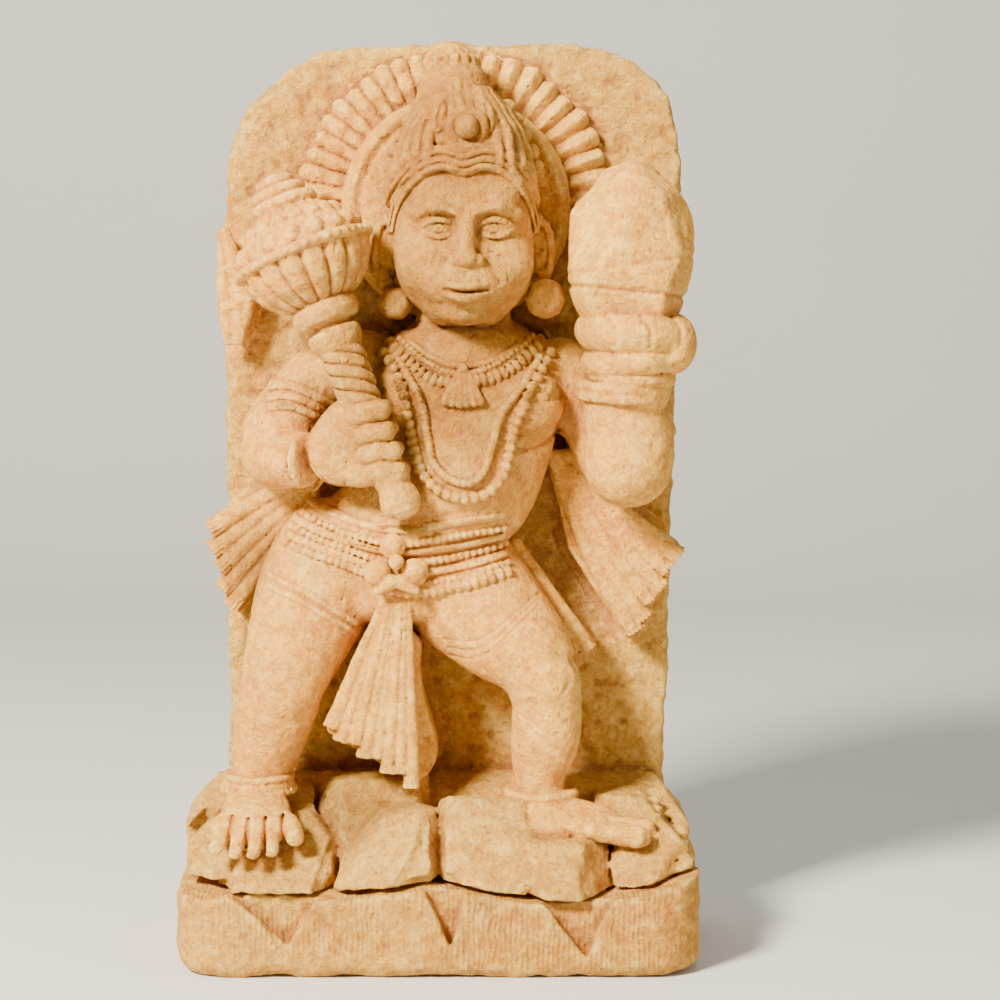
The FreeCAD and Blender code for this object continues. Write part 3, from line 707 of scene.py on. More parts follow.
def make_girdle(clay):
    """Slung strands, a clasp of three balls with a leaf, and a row of drops on the left hip."""
    tops = on_front("girdle", ((0.06, 0.86), (0.30, 0.60), (0.50, 0.50), (0.70, 0.56), (0.97, 0.66)))
    lows = on_front("girdle", ((0.02, 0.48), (0.26, 0.26), (0.46, 0.04), (0.66, 0.02), (0.99, 0.24)))
    strands = 5
    for k in range(strands):
        share = k / (strands - 1)
        line = Line([a * (1 - share) + b * share for a, b in zip(tops, lows)])
        if k % 2:
            draw(clay, line, 2.6, 2.6, 8)
        else:
            bead_row(clay, line, 4.4, 2.7, 0.45)
    bead_row(clay, Line([p - (0, 5) for p in lows[2:]]), 5.6, 3.5, 0.45, 1.25)
    draw(clay, Line([p + (0, 9) for p in tops]), 1.8, 2.6, 8)
    clasp = at("girdle_rosettes", 0.5, 0.2, 0.5)
    for fx, fz, size in ((0.42, 0.86, 7.6), (0.12, 0.26, 8.4), (0.86, 0.28, 8.8)):
        x, z = frontal("girdle_rosettes", fx, fz)
        y = min(BODY_FRONT.at(x, z)[1], clasp[1] + 9)
        clay.add(ball((x, y - 3.5, z), size), 0.5)
        clay.add(hoop((x, y - 5.5, z), (0, 1, 0), size - 1.2, 1.6), 0.5)
    for side in (-1, 1):
        foot = clasp + (side * 3, 0, -12)
        clay.add(rod(foot, foot + (side * 9, 1, -6), 5.0, 3.2), 1.0)
    clay.add(ball(clasp + (0, -1, 1), 5.0), 0.6)


RINGS = {name: union([CASTS[name]], 0.8) for name in ("right_bracelet", "left_bracelet", "right_anklet",
                                                      "left_anklet")}
RINGS["right_bracelet"].field += 2.2      # worn thinner than its CAD form


def make_rings(clay):
    """Bands round the limbs: straps on the arm, plain rolls at the wrists and beaded rolls at the ankles."""
    for name in ("right_bracelet", "left_bracelet"):
        clay.merge(RINGS[name], 0.5)
    for name in ("right_anklet", "left_anklet"):
        make_anklet(clay, name)
    strap = Line(on_front("right_armlet", ((0.00, 0.30), (0.30, 0.34), (0.60, 0.24), (0.95, 0.02))))
    for shift in (0.0, 6.5, 13.0):
        draw(clay, Line(strap.points[::6] + (0, shift)), 2.2, 2.7, 12)
    wrist, radius = at("left_bracelet"), half_width("left_bracelet") - 2.5
    for rise, size in ((-3.6, 3.2), (3.2, 3.6)):
        clay.add(hoop(wrist + (0, 0, rise), (0.05, 0, 1), radius, size), 0.8)


def make_anklet(clay, name):
    """Two rolls round a collar, over a row of beads."""
    clay.merge(RINGS[name], 0.5)
    middle, radius = at(name) + (0, 0, 2), half_width(name) - 2.5
    collar = Axis(middle - (0, 0, 5), middle + (0, 0, 5))
    clay.add(turned(collar, [(-2, radius - 3), (0, radius), (8, radius), (10, radius - 3)]), 1.5)
    for rise in (-2.6, 2.6):
        clay.add(hoop(middle + (0, 0, rise), (0, 0, 1), radius - 0.5, 2.8), 0.6)
    beads = 30
    for k in range(beads):
        turn = math.radians(360 / beads * k)
        spot = (math.cos(turn) * (radius + 1.4), math.sin(turn) * (radius + 1.4), -6.0)
        clay.add(ball(middle + spot, 2.9), 0.4)


# ---------------- head
EYES = frontal("head", 0.5, 0.47) + (2.0, 0)
SKULL = union([CASTS["head"]], 3.0)


def face_point(x, y, z):
    """A point from the middle of the eye line, on the plane that the skull's front touches."""
    return np.array((EYES[0] + x, at("head", 0, 0.09, 0)[1] + y, EYES[1] + z))


def make_face(clay):
    """A calm, symmetrical face with a broad soft muzzle, set out on halves and thirds of the head."""
    clay.merge(SKULL, 2)
    for side in (-1, 1):
        clay.add(egg(face_point(26 * side, 17, -24), (17, 17, 17)), 8)
        clay.add(rod(face_point(7 * side, -1.0, 9), face_point(20 * side, 0.5, 12), 4.6, 4.8), 6)
        clay.add(rod(face_point(20 * side, 0.5, 12), face_point(32 * side, 9, 8), 4.8, 4.0), 6)
    clay.add(egg(face_point(0, 12, 24), (34, 12, 18)), 8)
    for side in (-1, 1):
        clay.cut(egg(face_point(17 * side, -3.0, -2), (13.5, 8.5, 9.0)), 6)
    clay.add(egg(face_point(0, 8, -35), (27, 19, 15)), 7)
    clay.add(egg(face_point(0, 12, -54), (18, 14, 9)), 6)
    make_eyes(clay)
    make_nose(clay)
    make_mouth(clay)


def make_eyes(clay):
    """Open almond eyes between rimmed lids, with a ringed iris."""
    for side in (-1, 1):
        centre = face_point(17.5 * side, 9.0, -1.5)
        clay.add(egg(centre + (0, 1.8, 0), (11.0, 9.2, 7.2)), 0.8)
        for rise, bulge, out in ((5.8, 2.1, -7.2), (-5.4, 1.6, -6.8)):
            clay.chain([centre + (side * u * 12, out + 6.0 * u * u, rise * (1 - 0.94 * u * u) + 0.2)
                        for u in np.linspace(-1, 1, 9)], bulge, 0.7)
        eye = centre[[0, 2]]
        iris = [(3.3 * math.sin(t), 0.3 + 3.3 * math.cos(t)) for t in np.linspace(0, 2 * math.pi, 13)]
        draw(clay, Line(near(eye, iris), 3), -0.7, 0.7, centre[1], "groove")
        clay.cut(egg(centre + (0, -8.2, 0.3), (1.4, 1.8, 1.4)), 0.6)
        crease = [(side * u * 12, 9.8 - 3.4 * u * u) for u in np.linspace(-1, 1, 5)]
        groove(clay, near(eye, crease), 0.8, 1.2, centre[1])


def make_nose(clay):
    """A straight bridge, a rounded tip, wings with nostrils, and the fold from each wing to the cheek."""
    clay.add(rod(face_point(0, 0.5, 6), face_point(0, -7.5, -17), 4.4, 5.6), 5)
    clay.add(egg(face_point(0, -9.5, -20), (6.6, 6.2, 5.6)), 3)
    for side in (-1, 1):
        clay.add(egg(face_point(7.2 * side, -5.5, -21.5), (4.6, 5.6, 4.4)), 1.6)
        clay.cut(egg(face_point(3.8 * side, -12.6, -25.6), (2.1, 2.8, 1.3)), 1.4)
        groove(clay, near(EYES, ((12 * side, -19), (17 * side, -27), (23 * side, -38))), 1.5, 2.6, -40)


def make_mouth(clay):
    """Two full lips closed on a quiet bow."""
    for u in np.linspace(-1, 1, 11):
        curl = u * u
        upper = face_point(14 * u, -11.2 + 7.0 * curl, -37.6 + 1.6 * curl)
        lower = face_point(11 * u, -10.4 + 6.0 * curl, -44.8 + 2.6 * curl)
        clay.add(egg(upper, (4.2, 4.2, 3.1 - 1.3 * curl)), 1.4)
        clay.add(egg(lower, (4.2, 4.8, 3.8 - 1.4 * curl)), 1.4)
    bow = [(15 * u, -41.0 + 0.5 * u * u - 0.9 * math.cos(3 * u)) for u in np.linspace(-1, 1, 9)]
    groove(clay, near(EYES, bow), 1.5, 1.1, -35)
    groove(clay, near(EYES, ((0, -27.5), (0, -33.5))), 1.1, 1.8, -40)
    groove(clay, near(EYES, ((-7, -52), (7, -52))), 1.2, 2.6, -35)


def make_ears(clay):
    """A hollowed oval with a curled rim and a lobe."""
    for side, name in ((-1, "right"), (1, "left")):
        middle = at(name + "_ear")
        clay.add(egg(middle + (0, 2, 0), (8.0, 7.0, 22)), 2)
        clay.cut(egg(middle + (-side * 0.5, -8.5, 4), (4.2, 6.0, 11)), 2)
        rim = [(side * 7.5 * math.cos(t), -4.5, 20 * math.sin(t)) for t in np.linspace(-1.9, 2.6, 15)]
        clay.chain([middle + point for point in rim], 2.5, 0.8)
        clay.add(rod(middle + (side * 1.5, -3, -14), middle + (side * 3, -5, -22), 4.0, 3.4), 2)


def make_earrings(clay):
    """A six-sided stud on the right and a larger rounded one on the left."""
    for name, sides, flat in (("right_earring", 6, 0.86), ("left_earring", 8, 0.92)):
        middle = at(name)
        radius = half_width(name) * 1.02
        stud = Clay(middle - radius - 6, middle + radius + 6, clay.step)
        stud.add(ball(middle, radius), 0)
        for k in range(sides):
            turn = math.radians(360 / sides * (k + 0.5))
            n = (math.cos(turn), -0.25, math.sin(turn))
            stud.shave(middle + unit(n) * radius * flat, n, 0.8)
        stud.shave(middle + (0, -radius * 0.84, 0), (0.05, -1, 0.1), 1.0)
        clay.merge(stud, 0.8)


# ---------------- crown and halo
CROWN = {name: union([CASTS[name]], 1.4) for name in ("headband", "crown_cap", "crown_drum", "crown_finial")}
CROWN_FRONT = Front(union(list(CROWN.values())))


def make_crown(clay):
    """The cap and drum over three waved bands that dip on the brow."""
    for form in CROWN.values():
        clay.merge(form, 1.5)
    clay.add(rod(at("crown_cap", 0.45, 0.55, 0.75), at("crown_drum", 0.5, 0.5, 0.6), 24, 19), 3)
    brow = ((-50, -6), (-47, 8), (-41, 20), (-31, 31), (-16, 37.5), (-2, 34), (12, 37.5), (27, 32), (38, 20),
            (44, 8), (47, -6))
    for k, (height, width) in enumerate(((2.8, 2.6), (2.4, 2.2), (1.6, 1.8))):
        draw(clay, Line(near(EYES, [(x * (1 + 0.035 * k), z + 5.0 * k) for x, z in brow])), height, width, -4)
    make_leaves(clay)
    make_drum(clay)
    make_jewel(clay)


def make_leaves(clay):
    """Low flutes that run up the cap, leaves with a cut vein round the jewel, and knobs down the outline."""
    centre = EYES - (2, 0)
    for x in (-45, -38, -30.5, -23, 23, 30.5, 38, 45):
        foot = np.array((x, 47 - 0.0135 * x * x))
        tip = np.array((0.42 * x, 86))
        path = [foot + (tip - foot) * t + (0.16 * x * math.sin(math.pi * t), 0) for t in np.linspace(0, 1, 6)]
        clay.chain([CROWN_FRONT.at(*point, 0.2) for point in near(centre, path)], 3.3, 1.4)
    leaves = ((25, 57, 13, 100, 7.0), (15, 69, 11, 98, 5.5))
    for side in (-1, 1):
        for x, z, length, bearing, width in leaves:
            middle = centre + (side * x, z)
            turn = math.radians(bearing)
            lean = np.array((side * math.cos(turn), math.sin(turn))) * length
            foot, tip = CROWN_FRONT.at(*(middle - lean)), CROWN_FRONT.at(*(middle + lean))
            along = unit(tip - foot)
            across = unit(np.cross(along, (0, 1, 0)))
            seat = CROWN_FRONT.at(*middle, 1.6)
            clay.add(egg(seat, (length, 4.0, width), (along, np.cross(across, along), across)), 1.0)
            groove(clay, [middle - lean * 0.8, middle + (side, 0), middle + lean * 0.9], 1.5, 1.2, 0)
        for x, z, y in ((48, 38, -8), (45, 48, -8), (40, 58, -8), (35, 68, -8), (29, 77, -8)):
            clay.add(ball((centre[0] + side * x, y, centre[1] + z), 5.0), 1.5)
    for k in range(5):
        x = (k - 2) * 6.2
        foot, tip = centre + (x, 64), centre + (x * 0.8 - 3, 90 - 1.4 * abs(k - 2))
        clay.add(rod(CROWN_FRONT.at(*foot, 0.8), CROWN_FRONT.at(*tip, 0.8), 3.4, 3.0), 0.4)


def make_drum(clay):
    """Rings and low upright petals on the drum, and a small fluted cap as the finial."""
    axis = Axis(at("crown_drum", 0.50, 0.5, 0), at("crown_finial", 0.48, 0.5, 1))
    drum = [(-6, 25), (-2, 26), (2, 25.5), (4, 23.5), (16, 21), (18, 22.5), (22, 22), (24, 18)]
    clay.add(turned(axis, drum), 0.8)
    clay.add(turned(axis, [(22, 17), (27, 17.5), (33, 17), (37, 14), (41, 9), (44, 3)], 14, 1.8), 1.0)
    petals = 16
    for k in range(petals):
        turn = 360 / petals * k + 10
        clay.add(rod(axis.at(5, turn, 22.6), axis.at(14, turn, 21), 3.0, 2.2), 0.8)
        clay.add(rod(axis.at(25, turn, 16.6), axis.at(32, turn, 16.4), 2.4, 2.6), 0.8)


def make_jewel(clay):
    """A boss in a ring, with a drop on the middle of the brow band."""
    middle = at("crown_jewel", 0.5, 0.35, 0.5)
    clay.add(hoop(middle + (0, 3, 0), (0, 1, 0), 10.5, 3.4), 1.0)
    clay.add(egg(middle + (0, -1, 0), (7.4, 7.5, 8.0)), 0.6)
    clay.add(rod(middle + (-1, 0, -13), middle + (-2, -2, -21), 4.2, 2.8), 1.2)
    for side in (-1, 1):
        clay.add(egg(middle + (side * 7, 2, -14), (5.0, 3.6, 3.4)), 1.0)


def make_halo(clay):
    """The disc with a raised rim, and the fan behind it: rolls on the right, broad petals on the left."""
    clay.merge(DISC, 1.5)
    low, high = BOX["halo_disc"]
    cx, cz, radius = (low[0] + high[0]) / 2, (low[2] + high[2]) / 2, (high[0] - low[0]) / 2

    def rim(x, y, z):
        r = np.hypot(x - cx, z - cz)
        return (2.0 * np.exp(-((r - radius + 6) / 2.6) ** 2) - 1.8 * np.exp(-((r - radius + 12) / 2.4) ** 2)
                ).astype(np.float32) * (y < high[1] - 4)

    clay.swell(low - 3, high + (3, 0, 3), rim)
    (_, face, _), (right, back, _) = BOX["pleated_halo"]
    outer = right - cx
    window = clay.window((cx - outer - 8, face - 8, cz - 30), (cx + outer + 8, back + 6, cz + outer + 8))
    if not window:
        return
    x, y, z = clay.axes(window)
    r = np.hypot(x - cx, z - cz)
    first, middle, last = math.radians(-8), math.radians(88), math.radians(190)
    petals, rolls = 12, 15
    turn = (np.arctan2(z - cz, x - cx) - first) % (2 * math.pi)
    share = np.where(turn < middle - first, turn / (middle - first) * petals,
                     petals + (turn + first - middle) / (last - middle) * rolls)
    petal, number, u = share < petals, np.floor(share), (share % 1) * 2 - 1
    ridge = np.where(petal, 1 - np.abs(u) ** 1.2, np.sqrt(np.clip(1 - u * u, 0, 1)))
    ridge = ridge * (0.88 + 0.12 * np.sin(number * 2.4))
    crest = (back - face) * np.where(petal, 0.62 + 0.36 * ridge, 0.56 + 0.40 * ridge)
    crest = crest + np.where(petal, 0, 0.9 * np.sin((r - radius) * 0.42 + number * 1.9))
    edge = outer + 2.0 - np.where(petal, 2.6, 3.5) * u * u + 1.6 * np.sin(number * 1.7)
    slope_off = np.clip(r - (edge - 15), 0, 30) ** 2 / np.where(petal, 26, 60)
    solid = np.maximum((back - crest + slope_off - y) * 0.65, (r - edge) * 0.9)
    solid = np.maximum(solid, (share - petals - rolls) * 6)
    clay.field[window] = blend_min(clay.field[window], solid.astype(np.float32), 0.8)


DISC = union([CASTS["halo_disc"]], 1.6)


# ---------------- rock
ROCKS = [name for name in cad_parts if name.startswith("rock_")]


def faceted(name, seed):
    """A boulder dressed to facets: two meet in an upright ridge on its front, smaller ones lie round them."""
    form = union([CASTS[name]], 1.3)
    low, high = BOX[name]
    chance = np.random.default_rng(seed)
    stood_on = "under" in name
    ridge = low + (high - low) * (0.5 + chance.uniform(-0.16, 0.16), 0, 0.5)
    crest = low + (high - low) * (0.5, 0.34, 1.0) + (0, 0, 1)
    corner = low + (high - low) * (0.5, 0.06, 0.74)
    turn = 0.22 if stood_on else 0.50
    facets = [((-turn, -0.9, 0.22), ridge), ((turn, -0.9, 0.16), ridge),
              ((-0.8, -0.4, 0.3), ridge + (-18, 4, 0)), ((0.8, -0.4, 0.3), ridge + (18, 4, 0))]
    if not stood_on:
        facets += [((0.12, -0.5, 0.85), crest), ((-0.45, -0.6, 0.6), corner + (-9, 0, 0)),
                   ((0.4, -0.7, 0.55), corner + (9, 0, 0))]
    for normal, point in facets:
        form.shave(point, np.array(normal) + chance.uniform(-0.10, 0.10, 3), 0.8)
    return form


ROCK = {name: union([CASTS[name]], 1.6) if name == "rock_ground" else faceted(name, 7 + k)
        for k, name in enumerate(ROCKS)}
LEDGE_CORE = union([CASTS[name] for name in ROCKS], 1.3)
LEDGE_CORE.field += 5.0                   # fills the joints between the boulders, sunk behind their faces
LEDGE = union([*ROCK.values(), CASTS["back_slab"]])
SLAB = union([CASTS["back_slab"]], 2.4)
PLINTH = union([CASTS["plinth"]])
MORTAR = CASTS["bedding_mortar"]


def furrows(x, y, z):
    """Slanting strokes of a punch across the back of the slab."""
    run = 0.5 * x + z + 5 * np.sin(x / 23)
    return (0.9 * np.sin(run / 2.2) * smooth_step((y - BOX["back_slab"][1][1] + 6) / 4)).astype(np.float32)


def make_rock(clay):
    """The slab with hanging folds and a furrowed back, and the ledge's boulders with creases between them."""
    clay.merge(SLAB)
    clay.swell(BOX["back_slab"][0] - 3, BOX["back_slab"][1] + 3, furrows)
    for k in range(3):
        fold = (2 + 9 * k, 98 - 8 * k), (3 + 10 * k, 60), (8 + 12 * k, 12), (20 + 15 * k, -32)
        draw(clay, Line(near(frontal("torso", 1.0, 0.0), fold)), 4.5, 4.4, BOX["back_slab"][0][1] + 1)
    clay.merge(LEDGE_CORE)
    clay.add(egg(at("rock_under_left_foot", 0.05, 0.62, 0.75), (22, 31, 20)), 2)
    for form in ROCK.values():
        clay.merge(form, 3.0)


def make_plinth(clay):
    """The plinth keeps its CAD form."""
    clay.merge(PLINTH)


def make_mortar(clay):
    """The bed, raked back a little behind the faces of the stones that stand on it."""
    clay.merge(MORTAR)
    x, y, z = clay.axes()
    level = np.array(BOX["rock_ground"][0][2] + 2, np.float32).reshape(1, 1, 1)
    clay.field = np.maximum(clay.field, LEDGE.sample((x, y, level)) + 2.0)


# ---------------- the whole stone
def make_block(clay):
    """Everything cut from the block, from the back forwards."""
    make_rock(clay)
    clay.merge(BODY, 2.0)
    body_detail(clay)
    make_halo(clay)
    make_necklaces(clay)
    make_pendant(clay)
    make_girdle(clay)
    make_cloth(clay)
    for side in FEET:
        make_foot(clay, side)
    make_rings(clay)
    make_held_rock(clay)
    make_left_hand(clay)
    make_mace(clay)
    make_right_hand(clay)
    make_face(clay)
    make_ears(clay)
    make_earrings(clay)
    make_crown(clay)


ROUGH = {"back_slab": 1.0, "plinth": 0.45, "bedding_mortar": 0.5, **{name: 0.35 for name in ROCKS}}
ORNAMENTS = ("long_garland", "short_necklace", "pendant", "girdle", "girdle_rosettes", "headband",
             "crown_jewel", "right_earring", "left_earring", "right_ear", "left_ear", "right_hand",
             "left_hand", "mace_collar", "held_rock", "right_armlet", *RINGS)
LAID_ON = ("front_apron", "right_sash", "left_sash", "sash_end", "tail_tip", "pleated_halo")
PRIORITY = {**{name: 1.5 for name in ORNAMENTS}, **{name: 3.0 for name in LAID_ON}}
GRAINS = ((9.0, 0.40, 1.7), (3.6, 0.24, 0.7), (1.8, 0.14, 0.3))
NOISES = [Noise(cell, 40 + k, LOW - 20, HIGH + 20) for k, (cell, _, _) in enumerate(GRAINS)]
PITS = Noise(2.6, 50, LOW - 20, HIGH + 20)
WAVES = Noise(26.0, 51, LOW - 20, HIGH + 20)


class Zone:
    """A region of stone: its field, and at each voxel the nearest node and the nearest two nodes' fields."""

    def __init__(self, nodes, step, make):
        self.nodes = nodes
        corners = np.array([BOX[n] for n in nodes])
        self.clay = Clay(corners[:, 0].min(0) - REACH, corners[:, 1].max(0) + REACH, step * COARSE)
        make(self.clay)
        self.find_nearest()
        self.roughen()
        self.soften()

    def find_nearest(self):
        """Labels each voxel with the node it is nearest to; a node with priority wins from further off."""
        shape = self.clay.field.shape
        self.best, self.second = np.full(shape, FAR, np.float32), np.full(shape, FAR, np.float32)
        self.label = np.full(shape, -1, np.int16)
        for number, name in enumerate(CASTS):
            window = self.clay.window(*CASTS[name].bounds())
            if not window:
                continue
            field = CASTS[name].sample(self.clay.axes(window)) - PRIORITY.get(name, 0)
            best, second, label = self.best[window], self.second[window], self.label[window]
            closer = field < best
            second[...] = np.where(closer, best, np.minimum(second, field))
            best[...] = np.where(closer, field, best)
            label[closer] = number

    def roughen(self):
        """Weathering: a fine grain on the figure, a coarse one on rock, and scattered pits."""
        rough = np.array([ROUGH.get(name, 0) for name in CASTS] + [0], np.float32)[self.label]
        axes = self.clay.axes()
        for (cell, fine, coarse), noise in zip(GRAINS, NOISES):
            if cell >= 1.6 * self.clay.step:
                self.clay.field -= noise.sample(axes) * (fine + (coarse - fine) * rough)
        self.clay.field -= WAVES.sample(axes) * (0.3 + 1.1 * rough)
        self.clay.field += 0.7 * smooth_step((PITS.sample(axes) - 0.62) / 0.2)

    def soften(self):
        """Blurred copies of the field, which tell hollows and edges apart."""
        fine = self.clay.field.clip(-FAR, FAR)
        for k in (0, 1, 2) * 5:
            a, b, c = (fine.take(range(i, fine.shape[k] - 2 + i), k) for i in range(3))
            edge = fine.take([0], k), fine.take([-1], k)
            fine = np.concatenate([edge[0], (a + 2 * b + c) / 4, edge[1]], k)
        self.fine = fine
        broad = Clay((0, 0, 0), (0, 0, 0), self.clay.step * 3)
        broad.start = self.clay.start // 3
        broad.field = fine[::3, ::3, ::3].copy()
        self.broad = broad.blur(9.0)


def enclosure():
    """A coarse, widely blurred field of all the stone: low where a surface lies in a deep recess."""
    whole = Clay(LOW - 30, HIGH + 30, 4.0)
    for form in CASTS.values():
        whole.merge(form)
    return whole.blur(18.0)


SHELTER = enclosure()


def at_points(field, start, step, points):
    """Values of a field at scattered points, by trilinear interpolation."""
    place = np.clip(points / step - start, 0, np.array(field.shape) - 1.001)
    cell = place.astype(np.int64)
    share = (place - cell).astype(np.float32)
    total = 0
    for corner in np.ndindex(2, 2, 2):
        weight = np.prod([share[:, k] if corner[k] else 1 - share[:, k] for k in range(3)], axis=0)
        total = total + weight * field[tuple((cell + corner).T)]
    return total


def carve(zone, node):
    """Meshes the stone of one node, which runs on a little way under its neighbours."""
    clay = zone.clay
    window = clay.window(BOX[node][0] - REACH, BOX[node][1] + REACH)
    number = list(CASTS).index(node)
    own = CASTS[node].sample(clay.axes(window)) - PRIORITY.get(node, 0)
    other = np.where(zone.label[window] == number, zone.second[window], zone.best[window])
    side = (own - other) / 2
    field = np.maximum(clay.field[window] + DIVE * smooth_step(side / 1.5), side - LAP)
    limit = 3 * clay.step
    field = np.pad(field.clip(-limit, limit), 1, constant_values=limit)
    grid = vdb.FloatGrid(limit)
    grid.copyFromArray(field)
    points, quads = grid.convertToQuads(0.0)
    points = (points + [s.start - 1 for s in window] + clay.start) * clay.step
    return points, quads[:, ::-1]


def biggest_part(points, quads):
    """Drops loose crumbs: keeps the connected parts that have over a fiftieth of the faces."""
    parent = np.arange(len(points))
    for _ in range(60):
        lowest = parent[quads].min(1)
        before = parent.copy()
        for k in range(4):
            np.minimum.at(parent, quads[:, k], lowest)
        parent = parent[parent]
        if (parent == before).all():
            break
    names, counts = np.unique(parent[quads[:, 0]], return_counts=True)
    kept = np.isin(parent[quads[:, 0]], names[counts > len(quads) / 50])
    quads = quads[kept]
    used, renumbered = np.unique(quads, return_inverse=True)
    return points[used], renumbered.reshape(quads.shape)


def add_piece(zone, node, slot):
    """Meshes a node's stone and puts it in the scene in place of the CAD node."""
    points, quads = biggest_part(*carve(zone, node))
    mesh = bpy.data.meshes.new(node + "_stone")
    mesh.from_pydata([], [], [])
    mesh.vertices.add(len(points))
    mesh.vertices.foreach_set("co", (points / MM).astype(np.float32).ravel())
    mesh.loops.add(quads.size)
    mesh.loops.foreach_set("vertex_index", quads.astype(np.int32).ravel())
    mesh.polygons.add(len(quads))
    mesh.polygons.foreach_set("loop_start", np.arange(0, quads.size, 4, dtype=np.int32))
    mesh.update(calc_edges=True)
    mesh.validate()
    mesh.shade_smooth()
    fine = at_points(zone.fine, zone.clay.start, zone.clay.step, points)
    broad = at_points(zone.broad.field, zone.clay.start / 3, zone.clay.step * 3, points)
    shelter = at_points(SHELTER.field, SHELTER.start, SHELTER.step, points)
    for name, values in (("edge", fine), ("hollow", -broad), ("shelter", -shelter)):
        mesh.attributes.new(name, "FLOAT", "POINT").data.foreach_set("value", values.astype(np.float32))
    piece = bpy.data.objects.new(node + "_stone", mesh)
    bpy.context.scene.collection.objects.link(piece)
    mesh.materials.append(MATERIALS[slot])
    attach(piece, "root")
    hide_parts(node)
    return piece


# ---------------- materials
class Shader:
    """Small helpers for a node material."""

    def __init__(self, name):
        self.material = bpy.data.materials.new(name)
        self.material.use_nodes = True
        self.tree = self.material.node_tree
        self.surface = self.tree.nodes["Principled BSDF"]
        self.place = self.tree.nodes.new("ShaderNodeTexCoord").outputs["Object"]

    def node(self, kind, settings=None, **inputs):
        node = self.tree.nodes.new(kind)
        for key, value in (settings or {}).items():
            setattr(node, key, value)
        for key, value in inputs.items():
            self.set(node.inputs[key.replace("_", " ")], value)
        return node

    def set(self, socket, value):
        if isinstance(value, bpy.types.NodeSocket):
            self.tree.links.new(value, socket)
        else:
            socket.default_value = value

    def noise(self, scale, detail=4.0, rough=0.6, stretch=(1, 1, 1), place=(0, 0, 0)):
        """Noise over the object, with scale counted per metre."""
        spot = self.node("ShaderNodeMapping", Vector=self.place, Scale=stretch, Location=place)
        return self.node("ShaderNodeTexNoise", Vector=spot.outputs[0], Scale=scale, Detail=detail,
                         Roughness=rough).outputs["Fac"]

    def ramp(self, value, low, high, to_low=0.0, to_high=1.0):
        """A smooth step from to_low to to_high as the value goes from low to high."""
        node = self.node("ShaderNodeMapRange", {"interpolation_type": "SMOOTHSTEP"}, Value=value)
        for key, number in zip(("From Min", "From Max", "To Min", "To Max"), (low, high, to_low, to_high)):
            node.inputs[key].default_value = number
        return node.outputs[0]

    def times(self, a, b):
        node = self.tree.nodes.new("ShaderNodeMath")
        node.operation = "MULTIPLY"
        self.set(node.inputs[0], a)
        self.set(node.inputs[1], b)
        return node.outputs[0]

    def mix(self, share, a, b, how="MIX"):
        node = self.node("ShaderNodeMix", {"data_type": "RGBA", "blend_type": how})
        self.set(node.inputs[0], share)
        for socket, value in ((node.inputs[6], a), (node.inputs[7], b)):
            self.set(socket, value if isinstance(value, bpy.types.NodeSocket) else (*value, 1.0))
        return node.outputs[2]

    def attribute(self, name):
        return self.node("ShaderNodeAttribute", {"attribute_name": name}).outputs["Fac"]

    def away(self, point):
        """Distance from a point."""
        node = self.tree.nodes.new("ShaderNodeVectorMath")
        node.operation = "DISTANCE"
        self.set(node.inputs[0], self.place)
        node.inputs[1].default_value = point
        return node.outputs["Value"]

    def bump(self, height, distance, strength, normal=None):
        node = self.node("ShaderNodeBump", Height=height, Distance=distance, Strength=strength)
        if normal:
            self.set(node.inputs["Normal"], normal)
        return node.outputs[0]


# Linear colours. The spots below darken towards brown: a middle in mm, then the radii in metres where one
# starts and ends.
PALE = (1.0, 0.70, 0.19)
SAND = (0.95, 0.51, 0.065)
TAN = (0.86, 0.39, 0.038)
# The colour of the painted shade in broad hollows and narrow creases.
HOLLOW_SHADE = (0.56, 0.23, 0.045)
SOOT = (0.18, 0.07, 0.02)
LICHEN = (0.46, 0.34, 0.12)
# Rust stains, and the deeper tone of the painted shade in recesses.
RUST_AND_RECESS_SHADE = (0.88, 0.42, 0.10)
SHADED = (1.0, 0.62, 0.26)
GLINT = (1.0, 0.76, 0.42)
BROWN = (0.30, 0.23, 0.16)
GRIT = (0.66, 0.52, 0.36)
DARK_SPOTS = ((at("torso", 0.5, 0.0, 0.85), 0.03, 0.13), (at("crown_cap", 0.4, 0.3, 0.5), 0.02, 0.10),
          (at("right_sash", 0.5, 0.3, 0.4), 0.01, 0.055),
          (at("rock_between_feet", 0.3, 0.2, 0.9), 0.01, 0.055))


